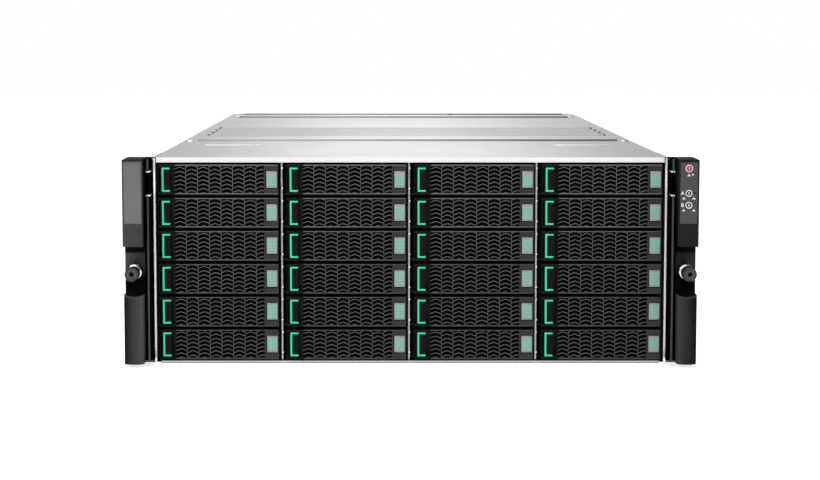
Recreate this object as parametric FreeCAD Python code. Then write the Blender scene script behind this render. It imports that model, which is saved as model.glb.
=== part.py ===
import FreeCAD, Part
import math
import os

V = FreeCAD.Vector

# Driving dimensions in millimetres. X runs to the right, Y to the rear, Z up.
# The pieces are drawn with Y = 0 at the front of the drive bays and Z = 0 at the underside of the chassis,
# and saved with the origin at the middle of the underside.

# Fits
seat_gap = 0.3
running_gap = 0.05
button_gap = 0.1

# Disk drive of the 3.5 inch size
drive_width = 101.6
drive_height = 25.4
drive_length = 147.0
plug_width = 42.0
plug_height = 6.0
plug_length = 5.0

# Drive carrier
rail_thickness = 0.75
drive_clearance = 0.2
drive_height_clearance = 0.15
bezel_depth = 10.2
bezel_face = 2.0
bezel_wall = 1.4
sled_front_wall = 1.0
drive_setback = 30.0
rail_tail = 3.0

# Latch at the left end of a carrier
latch_zone = 13.0
housing_side = 0.8
housing_strap = 2.3
housing_back = 1.2
latch_gap = 0.25
latch_left = 3.2
latch_width = 7.0
latch_depth = 7.0
latch_bar = 1.9
latch_flange = 1.6
latch_web = 2.0
pad_setback = 0.8
pad_depth = 5.4
pad_chamfer = 1.2
hinge_from_side = 2.6
hinge_from_front = 2.4
hinge_pin_radius = 0.8
hinge_pin_bite = 1.3
hinge_pin_flat_count = 6
hinge_slot_floor = 0.2

# Chevron grille of a carrier
grille_columns = 3
grille_rows = 2
grille_margin = 1.4
chevron_stroke = 3.6
chevron_rise = 4.0
chevron_web = 3.0

# Window plate at the right end of a carrier
window_width = 9.2
window_height = 14.4
window_from_right = 2.5
window_to_grille = 2.6
window_depth = 0.9

# Drive bays
columns = 4
rows = 6
carrier_proud = 6.0
carrier_left_gap = 3.0
carrier_right_gap = 1.9
ledge_thickness = 1.2
ledge_bite = 1.5
ledge_from_front = 12.0
head_room = 1.0
divider_thickness = 1.3
divider_gap = 0.25

# Midplane board
board_thickness = 3.0
board_edge_gap = 0.5
receptacle_depth = 10.0
receptacle_height = 9.0
receptacle_width = 50.0
board_vent_width = 24.0
board_vent_margin = 12.0

# Chassis
sheet = 1.0
chassis_depth = 740.0
lower_lip = 2.5
upper_hem = 4.7
hem_thickness = 1.6
side_hem = 1.8
front_hem_depth = 8.0

# Top panels
roof_depth = 219.0
middle_lid_depth = 220.0
panel_gap = 0.8
lid_skirt = 12.0
bead_width = 7.0
bead_height = 0.8
bead_end = 15.8
bead_count = 4
bead_pitch = 40.0
bead_from_edge = 16.0
rear_hem_from_edge = 3.5
rear_hem_pitch = 74.0
rear_hem_end = 6.0

# Rack ears
cover_width = 16.6
cover_front = 25.0
cover_foot = 3.0
cover_head = 0.2
cover_edge = 1.5
cover_gap = 3.1
bracket_sheet = 1.6
bracket_standoff = 2.0
bracket_reach = 18.0
bracket_leg = 50.0
ear_flange = 2.0
notch_height = 19.0
notch_depth = 9.0
notch_from_top = 11.1
recess_floor = 12.0
recess_above_screw = 21.85
scoop_radius = 21.0
lower_bulge = 2.8
plate_height = 51.4
plate_from_top = 2.2
plate_margin = 0.7
plate_depth = 1.0
plate_thickness = 1.2

# Captive thumb screws
screw_height = 81.15
screw_from_outer = 8.75
screw_body_radius = 3.6
thread_radius = 3.0
thread_length = 14.0
flange_hole_gap = 0.4
ferrule_radius = 6.5
ferrule_length = 7.0
ferrule_flat_count = 12
knob_radius = 6.0
knob_length = 12.0
knob_flute_count = 12
knob_to_ferrule = 5.0

# Power buttons on the right ear
button_radius = 2.9
button_proud = 0.4
button_length = 4.0
button_travel = 0.8
button_spacing = 10.0
button_from_plate_top = 25.8

# Rear bays
shelf_thickness = 1.2
partition_thickness = 1.2
bay_partition_gap = 0.5
bay_head_gap = 0.8
power_supply_width = 96.0
power_supply_depth = 320.0
sleeve_wall = 1.2
faceplate = 1.6
board_standoff = 5.0
card_thickness = 2.0
card_side_gap = 0.4
card_tail = 24.0
card_strip = 7.0
module_plug_width = 70.0
module_plug_height = 16.0
module_plug_reach = 14.0
module_plug_seat = 14.0

# Ports of a controller
port_block_depth = 22.0
port_block_height = 16.0
port_margin = 3.0
port_gap = 0.2
jack_width = 12.0
jack_height = 9.0
jack_depth = 15.0
jack_count = 2
cage_width = 14.0
cage_height = 9.0
cage_depth = 18.0
cage_count = 4
ports_from_side = 26.0

# Handles, vents and the mains inlet at the rear
handle_reach = 24.0
handle_bar = 7.0
handle_height = 11.0
handle_edge = 1.5
controller_handle_width = 92.0
controller_handle_from_partition = 24.0
power_handle_width = 62.0
power_handle_from_top = 12.0
vent_slot_width = 26.0
vent_slot_gap = 10.0
vent_margin = 12.0
controller_vent_height = 22.0
power_vent_height = 24.0
power_vent_to_handle = 6.0
inlet_width = 27.0
inlet_height = 19.5
inlet_depth = 16.0
inlet_wall = 2.0
inlet_from_side = 10.0
inlet_from_bottom = 8.0

# Sizes that follow from the driving dimensions
carrier_width = drive_width + 2 * (rail_thickness + drive_clearance)
carrier_height = drive_height + 2 * drive_height_clearance
column_pitch = carrier_left_gap + carrier_width + carrier_right_gap
row_pitch = ledge_thickness + seat_gap + carrier_height + head_room
inner_width = columns * column_pitch
inner_half = inner_width / 2
body_half = inner_half + sheet
chassis_height = lower_lip + rows * row_pitch + upper_hem
lid_under = chassis_height - sheet
first_left = -inner_half + carrier_left_gap
first_bottom = lower_lip + ledge_thickness + seat_gap
drive_rear = drive_setback + drive_length
divider_front = hem_thickness + seat_gap
receptacle_front = drive_rear - carrier_proud + plug_length + seat_gap
board_front = receptacle_front + receptacle_depth
board_rear = board_front + board_thickness
flange_front = front_hem_depth + seat_gap
flange_rear = flange_front + ear_flange
cover_inner = body_half + side_hem + bracket_standoff + cover_gap
cover_outer = cover_inner + cover_width
cover_top = chassis_height - cover_head
screw_x = cover_outer - screw_from_outer
plate_top = cover_top - plate_from_top
bay_side_gap = sheet + 2 * seat_gap
shelf_low = (sheet + lid_under - shelf_thickness) / 2
partition_x = inner_half - bay_side_gap - power_supply_width - bay_partition_gap - partition_thickness


def box(x0, x1, y0, y1, z0, z1):
    """A block between two corners."""
    return Part.makeBox(x1 - x0, y1 - y0, z1 - z0, V(x0, y0, z0))


def polygon(corners):
    """A closed wire through the corners."""
    return Part.makePolygon(corners + corners[:1])


def prism_x(points, x0, x1):
    """Extrude a (y, z) outline along X."""
    return Part.Face(polygon([V(x0, y, z) for y, z in points])).extrude(V(x1 - x0, 0, 0))


def prism_y(points, y0, y1):
    """Extrude an (x, z) outline along Y."""
    return Part.Face(polygon([V(x, y0, z) for x, z in points])).extrude(V(0, y1 - y0, 0))


def prism_z(points, z0, z1):
    """Extrude an (x, y) outline along Z."""
    return Part.Face(polygon([V(x, y, z0) for x, y in points])).extrude(V(0, 0, z1 - z0))


def rod_y(radius, x, z, y0, y1):
    """A round bar along Y."""
    return Part.makeCylinder(radius, y1 - y0, V(x, y0, z), V(0, 1, 0))


def many_sided(radius, flats, a, b):
    """Corners of an even many-sided outline about (a, b)."""
    turn = 2 * math.pi / flats
    return [(a + radius * math.cos(i * turn), b + radius * math.sin(i * turn)) for i in range(flats)]


def plate_with_holes(outline, holes, y0, y1):
    """Extrude an (x, z) outline with (x, z) hole outlines along Y."""
    wires = [polygon([V(x, y0, z) for x, z in ring]) for ring in [outline] + holes]
    return Part.makeFace(wires, "Part::FaceMakerBullseye").extrude(V(0, y1 - y0, 0))


def rectangle(x0, x1, z0, z1):
    """Corners of an upright rectangle."""
    return [(x0, z0), (x1, z0), (x1, z1), (x0, z1)]


def mirrored(shape):
    """The same shape on the other side of the middle plane."""
    return shape.mirror(V(0, 0, 0), V(1, 0, 0))


def save(name, solids):
    """Write one node, which may be a group of separate solids."""
    shape = solids[0] if len(solids) == 1 else Part.makeCompound(solids)
    shape = shape.translated(V(0, -chassis_depth / 2, 0))
    shape.exportStep(os.path.join("parts", name + ".step"))


# Drive carrier, built at the lowest bay of the first column
def chevron(x, z, half_width):
    """Outline of one slot shaped like a shallow roof."""
    low = z - chevron_rise / 2
    high = z + chevron_rise / 2
    half = chevron_stroke / 2
    return [
        (x - half_width, low - half),
        (x, high - half),
        (x + half_width, low - half),
        (x + half_width, low + half),
        (x, high + half),
        (x - half_width, low + half),
    ]


def grille_slots(left, right, bottom, top):
    """Chevron slots in upright columns, with every other column half a row off and one slot shorter."""
    pitch_x = (right - left) / grille_columns
    pitch_z = (top - bottom) / grille_rows
    half_width = (pitch_x - chevron_web) / 2
    slots = []
    for column in range(grille_columns):
        x = left + (column + 0.5) * pitch_x
        shorter = column % 2
        for row in range(grille_rows - shorter):
            z = bottom + (row + 0.5 + 0.5 * shorter) * pitch_z
            slots.append(chevron(x, z, half_width))
    return slots


def carrier_bezel(left, bottom):
    """Moulded front: chevron grille, rim, recess for the window plate, and the housing round the latch."""
    right = left + carrier_width
    top = bottom + carrier_height
    start = left + latch_zone
    window_left = right - window_from_right - window_width
    slots = grille_slots(
        start + grille_margin,
        window_left - window_to_grille,
        bottom + grille_margin,
        top - grille_margin,
    )
    finger_gap = rectangle(
        left + housing_side,
        start,
        bottom + housing_strap,
        top - housing_strap,
    )
    outline = rectangle(left, right, bottom, top)
    face = plate_with_holes(outline, [finger_gap] + slots, 0, bezel_face)
    inside = rectangle(start + bezel_wall, right - bezel_wall, bottom + bezel_wall, top - bezel_wall)
    rim = plate_with_holes(outline, [finger_gap, inside], bezel_face, bezel_depth - housing_back)
    back = plate_with_holes(outline, [inside], bezel_depth - housing_back, bezel_depth)
    middle = (bottom + top) / 2
    window = box(
        window_left,
        window_left + window_width,
        0,
        window_depth,
        middle - window_height / 2,
        middle + window_height / 2,
    )
    half = hinge_pin_radius + running_gap
    hinge_x = left + hinge_from_side
    slot_reach = hinge_pin_bite - latch_gap + hinge_slot_floor
    hinge_slot = box(
        hinge_x - half,
        hinge_x + half,
        hinge_from_front - half,
        bezel_depth - housing_back,
        bottom + housing_strap - slot_reach,
        top - housing_strap + slot_reach,
    )
    moulding = face.multiFuse([rim, back]).removeSplitter()
    return moulding.cut(window).cut(hinge_slot), window


def sled(left, bottom):
    """Cross wall behind the latch housing and two long side rails, bent from one strip."""
    right = left + carrier_width
    rear = bezel_depth + sled_front_wall
    tail = drive_rear + rail_tail
    plan = [
        (left, bezel_depth),
        (left + latch_zone, bezel_depth),
        (left + latch_zone, rear),
        (left + rail_thickness, rear),
        (left + rail_thickness, tail),
        (left, tail),
    ]
    left_rail = prism_z(plan, bottom, bottom + carrier_height)
    right_rail = box(right - rail_thickness, right, bezel_depth, tail, bottom, bottom + carrier_height)
    return [left_rail, right_rail]


def disk_drive(left, bottom):
    """Drive body and the plug at its rear."""
    x0 = left + rail_thickness + drive_clearance
    z0 = bottom + drive_height_clearance
    body = box(x0, x0 + drive_width, drive_setback, drive_rear, z0, z0 + drive_height)
    plug_left = x0 + (drive_width - plug_width) / 2
    plug = box(plug_left, plug_left + plug_width, drive_rear, drive_rear + plug_length, z0, z0 + plug_height)
    return body.fuse(plug).removeSplitter()


def latch(left, bottom):
    """Green-edged handle with its hinge pin, and the finger pad inside it."""
    low = bottom + housing_strap + latch_gap
    high = bottom + carrier_height - housing_strap - latch_gap
    x0 = left + latch_left
    x1 = x0 + latch_width
    edge = [
        (x0, low),
        (x1, low),
        (x1, low + latch_flange),
        (x0 + latch_bar, low + latch_flange),
        (x0 + latch_bar, high - latch_flange),
        (x1, high - latch_flange),
        (x1, high),
        (x0, high),
    ]
    handle = prism_y(edge, 0, latch_depth)
    hinge_x = left + hinge_from_side
    web = box(
        hinge_x,
        x0,
        hinge_from_front - latch_web / 2,
        hinge_from_front + latch_web / 2,
        low,
        high,
    )
    ring = many_sided(hinge_pin_radius, hinge_pin_flat_count, hinge_x, hinge_from_front)
    pin = prism_z(ring, low - hinge_pin_bite, high + hinge_pin_bite)
    pad = prism_z(
        [
            (x0 + latch_bar, pad_setback + pad_chamfer),
            (x0 + latch_bar + pad_chamfer, pad_setback),
            (x1, pad_setback),
            (x1, pad_setback + pad_depth),
            (x0 + latch_bar, pad_setback + pad_depth),
        ],
        low + latch_flange,
        high - latch_flange,
    )
    return handle.multiFuse([web, pin]).removeSplitter(), pad


def carriers_and_latches():
    """One carrier and one latch for each bay, proud of the chassis front, with row 1 at the top."""
    bezel, window = carrier_bezel(first_left, first_bottom)
    rails = sled(first_left, first_bottom)
    carrier = Part.makeCompound([bezel, window, disk_drive(first_left, first_bottom)] + rails)
    handle = Part.makeCompound(list(latch(first_left, first_bottom)))
    for row in range(rows):
        for column in range(columns):
            place = V(column * column_pitch, -carrier_proud, (rows - 1 - row) * row_pitch)
            tag = f"r{row + 1}_c{column + 1}"
            save("carrier_" + tag, [carrier.translated(place)])
            save("latch_" + tag, [handle.translated(place)])


# Drive cage
def ledge_corners(side, face, reach):
    """Corners of the guide ledges up one side of a divider."""
    corners = []
    for row in range(rows):
        low = lower_lip + row * row_pitch
        high = low + ledge_thickness
        corners += [
            (side * face, low),
            (side * (face + reach), low),
            (side * (face + reach), high),
            (side * face, high),
        ]
    return corners


def divider(x, left_face, right_face, left_reach, right_reach):
    """Upright sheet with guide ledges towards the carriers that it parts."""
    right = [(right_face, sheet)]
    right += ledge_corners(1, right_face, right_reach) if right_reach else []
    right += [(right_face, lid_under)]
    left = [(-left_face, sheet)]
    left += ledge_corners(-1, left_face, left_reach) if left_reach else []
    left += [(-left_face, lid_under)]
    outline = [(x + dx, z) for dx, z in right + left[::-1]]
    guide = prism_y(outline, ledge_from_front, board_front)
    front = box(x - left_face, x + right_face, divider_front, ledge_from_front, sheet, lid_under)
    return guide.fuse(front).removeSplitter()


def drive_cage():
    """Dividers, side liners, and the midplane board with its receptacles."""
    half = divider_thickness / 2
    between = carrier_left_gap + carrier_right_gap
    to_left = divider_gap + ledge_bite
    to_right = between - divider_gap - divider_thickness + ledge_bite
    solids = [divider(-inner_half, 0, half, 0, carrier_left_gap - half + ledge_bite)]
    for column in range(1, columns):
        x = first_left + column * column_pitch - between + divider_gap + half
        solids.append(divider(x, half, half, to_left, to_right))
    solids.append(divider(inner_half, half, 0, carrier_right_gap - half + ledge_bite, 0))
    board_half = inner_half - board_edge_gap
    vents = []
    receptacles = []
    for column in range(columns):
        middle = first_left + column * column_pitch + carrier_width / 2
        for row in range(rows):
            low = first_bottom + drive_height_clearance + row * row_pitch
            receptacles.append(
                box(
                    middle - receptacle_width / 2,
                    middle + receptacle_width / 2,
                    receptacle_front,
                    board_front,
                    low,
                    low + receptacle_height,
                )
            )
        vent_right = middle + carrier_width / 2
        vents.append(
            rectangle(
                vent_right - board_vent_width,
                vent_right,
                sheet + board_vent_margin,
                lid_under - board_vent_margin,
            )
        )
    outline = rectangle(-board_half, board_half, sheet, lid_under)
    board = plate_with_holes(outline, vents, board_front, board_rear)
    save("drive_cage", solids + [board] + receptacles)


# Chassis
def chassis_tray():
    """Folded floor and sides with front hems, the rear shelves and their partition."""
    outline = [
        (-body_half, 0),
        (body_half, 0),
        (body_half, lid_under),
        (inner_half, lid_under),
        (inner_half, sheet),
        (-inner_half, sheet),
        (-inner_half, lid_under),
        (-body_half, lid_under),
    ]
    channel = prism_y(outline, 0, chassis_depth)
    hem = box(body_half, body_half + side_hem, 0, front_hem_depth, 0, lid_under)
    lip = box(-inner_half, inner_half, 0, hem_thickness, sheet, lower_lip)
    tray = channel.multiFuse([hem, mirrored(hem), lip]).removeSplitter()
    shelf = box(
        -inner_half,
        partition_x,
        board_rear,
        chassis_depth,
        shelf_low,
        shelf_low + shelf_thickness,
    )
    power_shelf = box(
        partition_x + partition_thickness,
        inner_half,
        board_rear,
        chassis_depth,
        shelf_low,
        shelf_low + shelf_thickness,
    )
    partition = box(
        partition_x,
        partition_x + partition_thickness,
        board_rear,
        chassis_depth,
        sheet,
        lid_under,
    )
    save("chassis_tray", [tray, shelf, power_shelf, partition])


def bead(y, end):
    """Raised cross bead of a lid."""
    half = bead_width / 2
    profile = [
        (y - half, chassis_height),
        (y + half, chassis_height),
        (y + half / 2, chassis_height + bead_height),
        (y - half / 2, chassis_height + bead_height),
    ]
    return prism_x(profile, -body_half + end, body_half - end)


def lid(front, rear, bead_places, bead_ends):
    """Flat lid with two side skirts inside the chassis walls and raised cross beads."""
    flat = box(-body_half, body_half, front, rear, lid_under, chassis_height)
    outer = inner_half - seat_gap
    skirt = box(outer - sheet, outer, front, rear, lid_under - lid_skirt, lid_under)
    beads = [bead(y, bead_ends) for y in bead_places]
    return flat.multiFuse([skirt, mirrored(skirt)] + beads).removeSplitter()


def top_panels():
    """Front roof with its folded hem, middle lid and rear lid."""
    roof_profile = [
        (0, chassis_height - upper_hem),
        (hem_thickness, chassis_height - upper_hem),
        (hem_thickness, lid_under),
        (roof_depth, lid_under),
        (roof_depth, chassis_height),
        (0, chassis_height),
    ]
    roof = prism_x(roof_profile, -inner_half, inner_half)
    cheek = box(inner_half, body_half, 0, roof_depth, lid_under, chassis_height)
    roof = roof.multiFuse([cheek, mirrored(cheek)]).removeSplitter()
    middle_front = roof_depth + panel_gap
    middle_rear = middle_front + middle_lid_depth
    first_bead = middle_rear - bead_from_edge
    beads = [first_bead - i * bead_pitch for i in range(bead_count)]
    middle = lid(middle_front, middle_rear, beads, bead_end)
    last_bead = chassis_depth - rear_hem_from_edge
    rear = lid(middle_rear + panel_gap, chassis_depth, [last_bead, last_bead - rear_hem_pitch], rear_hem_end)
    save("top_panels", [roof, middle, rear])


# Rack ears
def screw_passage(y0, y1):
    """Square hole that the thumb screw passes through with room to float."""
    half = screw_body_radius + flange_hole_gap
    return box(screw_x - half, screw_x + half, y0, y1, screw_height - half, screw_height + half)


def bowed_block(low, high):
    """Lower block of a cover, with a front that bows out between its sides."""
    side = -cover_front + lower_bulge
    left = V(cover_inner, side, low)
    right = V(cover_outer, side, low)
    peak = V((cover_inner + cover_outer) / 2, -cover_front, low)
    back = [right, V(cover_outer, flange_front, low), V(cover_inner, flange_front, low), left]
    outline = Part.Wire([Part.Arc(left, peak, right).toShape()] + Part.makePolygon(back).Edges)
    return Part.Face(outline).extrude(V(0, 0, high - low))


def ear_cover():
    """Moulded cover: an edged upper block and a bowed lower one, with a scooped screw recess between."""
    recess_top = screw_height + recess_above_screw
    plan = [
        (cover_inner, -cover_front),
        (cover_outer - cover_edge, -cover_front),
        (cover_outer, -cover_front + cover_edge),
        (cover_outer, flange_front),
        (cover_inner, flange_front),
    ]
    upper = prism_z(plan, recess_top, cover_top)
    lower = bowed_block(cover_foot, recess_top)
    scoop = rod_y(scoop_radius, screw_x, screw_height, -cover_front, -recess_floor)
    room = box(cover_inner, cover_outer, -cover_front, -recess_floor, screw_height, recess_top)
    cover = upper.fuse(lower.cut(scoop.fuse(room))).removeSplitter()
    shank = screw_passage(-recess_floor, flange_front)
    plate_pocket = box(
        cover_inner + plate_margin,
        cover_outer - cover_edge,
        -cover_front,
        -cover_front + plate_depth,
        plate_top - plate_height,
        plate_top,
    )
    return cover.cut(shank).cut(plate_pocket)


def ear_bracket():
    """Folded bracket: front flange for the rack, leg along the chassis, and a notched front leg."""
    flange = box(body_half, cover_outer, flange_front, flange_rear, cover_foot, cover_top)
    flange = flange.cut(screw_passage(flange_front, flange_rear))
    side = box(
        body_half,
        body_half + bracket_sheet,
        flange_rear,
        flange_rear + bracket_leg,
        cover_foot,
        cover_top,
    )
    leg_x = body_half + side_hem + bracket_standoff - bracket_sheet
    notch_top = cover_top - notch_from_top
    leg_profile = [
        (flange_front, cover_foot),
        (-bracket_reach, cover_foot),
        (-bracket_reach, notch_top - notch_height),
        (-bracket_reach + notch_depth, notch_top - notch_height),
        (-bracket_reach + notch_depth, notch_top),
        (-bracket_reach, notch_top),
        (-bracket_reach, cover_top),
        (flange_front, cover_top),
    ]
    leg = prism_x(leg_profile, leg_x, leg_x + bracket_sheet)
    return flange.multiFuse([side, leg]).removeSplitter()


def ear_plate():
    """Inset front plate of an ear."""
    front = -cover_front + plate_depth - plate_thickness
    return box(
        cover_inner + plate_margin,
        cover_outer - cover_edge,
        front,
        front + plate_thickness,
        plate_top - plate_height,
        plate_top,
    )


def ferrule():
    """Bright collar that carries the thumb screw."""
    front = -recess_floor - ferrule_length
    outline = many_sided(ferrule_radius, ferrule_flat_count, screw_x, screw_height)
    collar = prism_y(outline, front, -recess_floor)
    return collar.cut(rod_y(screw_body_radius + running_gap, screw_x, screw_height, front, -recess_floor))


def thumb_screw():
    """Fluted knob, plain body through the ferrule and thread behind the flange."""
    knob_rear = -recess_floor - ferrule_length - knob_to_ferrule
    outline = many_sided(knob_radius, knob_flute_count, screw_x, screw_height)
    knob = prism_y(outline, knob_rear - knob_length, knob_rear)
    body = rod_y(screw_body_radius, screw_x, screw_height, knob_rear, flange_rear)
    thread = rod_y(thread_radius, screw_x, screw_height, flange_rear, flange_rear + thread_length)
    return knob.multiFuse([body, thread])


def button_heights():
    """Heights of the two power buttons, A above B."""
    first = plate_top - button_from_plate_top
    return [first, first - button_spacing]


def rack_ears():
    """Covers, brackets, front plates and ferrules of both ears, the screws and the power buttons."""
    button_x = (cover_inner + plate_margin + cover_outer - cover_edge) / 2
    button_front = -cover_front - button_proud
    pocket_floor = button_front + button_length + button_travel + seat_gap
    right_cover = ear_cover()
    right_plate = ear_plate()
    heights = button_heights()
    half = button_radius + button_gap
    pocket = box(
        button_x - half,
        button_x + half,
        -cover_front + plate_depth,
        pocket_floor,
        heights[-1] - half,
        heights[0] + half,
    )
    right_cover = right_cover.cut(pocket)
    for tag, z in zip("ab", heights):
        hole = rod_y(half, button_x, z, button_front, pocket_floor)
        right_plate = right_plate.cut(hole)
        button = rod_y(button_radius, button_x, z, button_front, button_front + button_length)
        save("power_button_" + tag, [button])
    left = [mirrored(s) for s in (ear_cover(), ear_bracket(), ear_plate(), ferrule())]
    save("rack_ears", [right_cover, ear_bracket(), right_plate, ferrule()] + left)
    save("right_thumb_screw", [thumb_screw()])
    save("left_thumb_screw", [mirrored(thumb_screw())])


# Rear bays
def bay_floors():
    """Heights of the lower and the upper rear bay: floor and ceiling of a module."""
    lower = (sheet + seat_gap, shelf_low - bay_head_gap)
    upper = (shelf_low + shelf_thickness + seat_gap, lid_under - bay_head_gap)
    return [lower, upper]


def vent_slots(x0, x1, z0, z1):
    """Upright vent slots that fill a rectangle."""
    pitch = vent_slot_width + vent_slot_gap
    count = int((x1 - x0 + vent_slot_gap) / pitch)
    start = (x0 + x1 - count * pitch + vent_slot_gap) / 2
    return [rectangle(start + i * pitch, start + i * pitch + vent_slot_width, z0, z1) for i in range(count)]


def sleeve(x0, x1, y0, low, high, holes):
    """Sheet sleeve, open at its inner end, with a rear faceplate."""
    outline = rectangle(x0, x1, low, high)
    hollow = rectangle(x0 + sleeve_wall, x1 - sleeve_wall, low + sleeve_wall, high - sleeve_wall)
    tube = plate_with_holes(outline, [hollow], y0, chassis_depth - faceplate)
    rear = plate_with_holes(outline, holes, chassis_depth - faceplate, chassis_depth)
    return tube.fuse(rear).removeSplitter()


def pull_handle(x0, x1, low):
    """Flat bail on a faceplate, with room for the fingers behind its bar."""
    rear = chassis_depth + handle_reach
    profile = [
        (x0, chassis_depth),
        (x0, rear - handle_edge),
        (x0 + handle_edge, rear),
        (x1 - handle_edge, rear),
        (x1, rear - handle_edge),
        (x1, chassis_depth),
        (x1 - handle_bar, chassis_depth),
        (x1 - handle_bar, rear - handle_bar),
        (x0 + handle_bar, rear - handle_bar),
        (x0 + handle_bar, chassis_depth),
    ]
    return prism_z(profile, low, low + handle_height)


def module_card(x0, x1, y0, low):
    """Circuit board on two side strips, with the plug that meets the midplane side."""
    left = x0 + sleeve_wall + card_side_gap
    right = x1 - sleeve_wall - card_side_gap
    floor = low + sleeve_wall
    rear = chassis_depth - faceplate - card_tail
    under = floor + board_standoff
    over = under + card_thickness
    card = box(left, right, y0, rear, under, over)
    strips = [
        box(left, left + card_strip, y0, rear, floor, under),
        box(right - card_strip, right, y0, rear, floor, under),
    ]
    middle = (x0 + x1) / 2
    plug = box(
        middle - module_plug_width / 2,
        middle + module_plug_width / 2,
        y0 - module_plug_reach + seat_gap,
        y0 + module_plug_seat,
        over,
        over + module_plug_height,
    )
    return [card, plug] + strips


def controller(name, low, high):
    """Controller in its sleeve: board, port block, vent and pull handle."""
    x0 = -inner_half + bay_side_gap
    x1 = partition_x - bay_partition_gap
    y0 = board_rear + module_plug_reach
    over = low + sleeve_wall + board_standoff + card_thickness
    block_x0 = x0 + ports_from_side
    jacks = jack_count * (jack_width + port_margin)
    cages = cage_count * (cage_width + port_margin)
    block_x1 = block_x0 + port_margin + jacks + cages
    block_z1 = over + port_block_height
    window = rectangle(block_x0 - port_gap, block_x1 + port_gap, over - port_gap, block_z1 + port_gap)
    vent_top = high - vent_margin
    vents = vent_slots(x0 + vent_margin, x1 - vent_margin, vent_top - controller_vent_height, vent_top)
    shell = sleeve(x0, x1, y0, low, high, [window] + vents)
    block_front = chassis_depth - port_block_depth - card_tail
    block = box(block_x0, block_x1, block_front, chassis_depth, over, block_z1)
    x = block_x0 + port_margin
    middle = (over + block_z1) / 2
    sizes = [(jack_width, jack_height, jack_depth)] * jack_count
    sizes += [(cage_width, cage_height, cage_depth)] * cage_count
    for width, height, depth in sizes:
        pocket = box(
            x,
            x + width,
            chassis_depth - depth,
            chassis_depth,
            middle - height / 2,
            middle + height / 2,
        )
        block = block.cut(pocket)
        x += width + port_margin
    handle_right = x1 - controller_handle_from_partition
    handle_low = over + (port_block_height - handle_height) / 2
    handle = pull_handle(handle_right - controller_handle_width, handle_right, handle_low)
    save(name, [shell, block, handle] + module_card(x0, x1, y0, low))


def power_supply(name, low, high):
    """Power supply in its sleeve: vent, mains inlet and pull handle."""
    x0 = partition_x + partition_thickness + bay_partition_gap
    x1 = inner_half - bay_side_gap
    y0 = chassis_depth - power_supply_depth
    inlet_x0 = x0 + inlet_from_side
    inlet_z0 = low + inlet_from_bottom
    inlet_x1 = inlet_x0 + inlet_width
    inlet_z1 = inlet_z0 + inlet_height
    outer = rectangle(
        inlet_x0 - inlet_wall - port_gap,
        inlet_x1 + inlet_wall + port_gap,
        inlet_z0 - inlet_wall - port_gap,
        inlet_z1 + inlet_wall + port_gap,
    )
    handle_low = high - power_handle_from_top - handle_height
    vent_top = handle_low - power_vent_to_handle
    vent_low = vent_top - power_vent_height
    vents = vent_slots(x0 + vent_margin, x1 - vent_margin, vent_low, vent_top)
    shell = sleeve(x0, x1, y0, low, high, [outer] + vents)
    inlet = box(
        inlet_x0 - inlet_wall,
        inlet_x1 + inlet_wall,
        chassis_depth - inlet_depth - inlet_wall,
        chassis_depth,
        inlet_z0 - inlet_wall,
        inlet_z1 + inlet_wall,
    )
    inlet = inlet.cut(box(inlet_x0, inlet_x1, chassis_depth - inlet_depth, chassis_depth, inlet_z0, inlet_z1))
    middle = (x0 + x1) / 2
    handle = pull_handle(middle - power_handle_width / 2, middle + power_handle_width / 2, handle_low)
    save(name, [shell, inlet, handle] + module_card(x0, x1, y0, low))


def main():
    """Build every node."""
    os.makedirs("parts", exist_ok=True)
    carriers_and_latches()
    drive_cage()
    chassis_tray()
    top_panels()
    rack_ears()
    for tag, (low, high) in zip("ba", bay_floors()):
        controller("controller_" + tag, low, high)
        power_supply("power_supply_" + tag, low, high)


main()
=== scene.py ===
"""Looks of a rack storage array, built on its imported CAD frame."""

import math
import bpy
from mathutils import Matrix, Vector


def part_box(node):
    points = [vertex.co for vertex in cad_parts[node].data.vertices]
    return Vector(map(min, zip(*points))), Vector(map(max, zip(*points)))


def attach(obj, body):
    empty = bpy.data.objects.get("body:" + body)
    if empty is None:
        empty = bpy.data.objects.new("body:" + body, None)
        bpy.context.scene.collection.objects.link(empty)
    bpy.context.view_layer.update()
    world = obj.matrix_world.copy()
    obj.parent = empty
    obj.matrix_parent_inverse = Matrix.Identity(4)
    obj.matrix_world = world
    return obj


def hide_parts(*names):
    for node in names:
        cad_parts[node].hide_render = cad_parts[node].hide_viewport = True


bl_info = {
    "name": "Storage Array Looks",
    "version": (1, 0, 0),
    "blender": (4, 5, 0),
    "location": "View3D > Sidebar > Storage Array",
    "description": "Dresses the CAD model of a rack storage array with pieces, finishes, light and a camera",
    "category": "Object",
}

import bmesh
import bpy
from bpy.props import FloatProperty, FloatVectorProperty, IntProperty, PointerProperty
from mathutils import Matrix, Vector

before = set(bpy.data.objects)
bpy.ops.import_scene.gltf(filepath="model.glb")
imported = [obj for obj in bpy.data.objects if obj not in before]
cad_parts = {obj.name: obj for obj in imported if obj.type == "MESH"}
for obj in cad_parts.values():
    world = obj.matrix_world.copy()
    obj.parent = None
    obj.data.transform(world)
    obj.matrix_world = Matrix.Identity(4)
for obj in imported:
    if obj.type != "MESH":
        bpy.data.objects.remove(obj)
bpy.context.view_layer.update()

ROWS = 6
COLUMNS = 4
TAGS = [f"r{row + 1}_c{column + 1}" for row in range(ROWS) for column in range(COLUMNS)]
FIRST = TAGS[0]
CARRIER_LOW, CARRIER_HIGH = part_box("carrier_" + FIRST)
LATCH_LOW, LATCH_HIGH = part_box("latch_" + FIRST)
CHASSIS_LOW, CHASSIS_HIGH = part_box("chassis_tray")
TOP_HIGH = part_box("top_panels")[1]
EARS_LOW, EARS_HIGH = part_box("rack_ears")
SCREW_LOW, SCREW_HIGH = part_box("right_thumb_screw")
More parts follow.
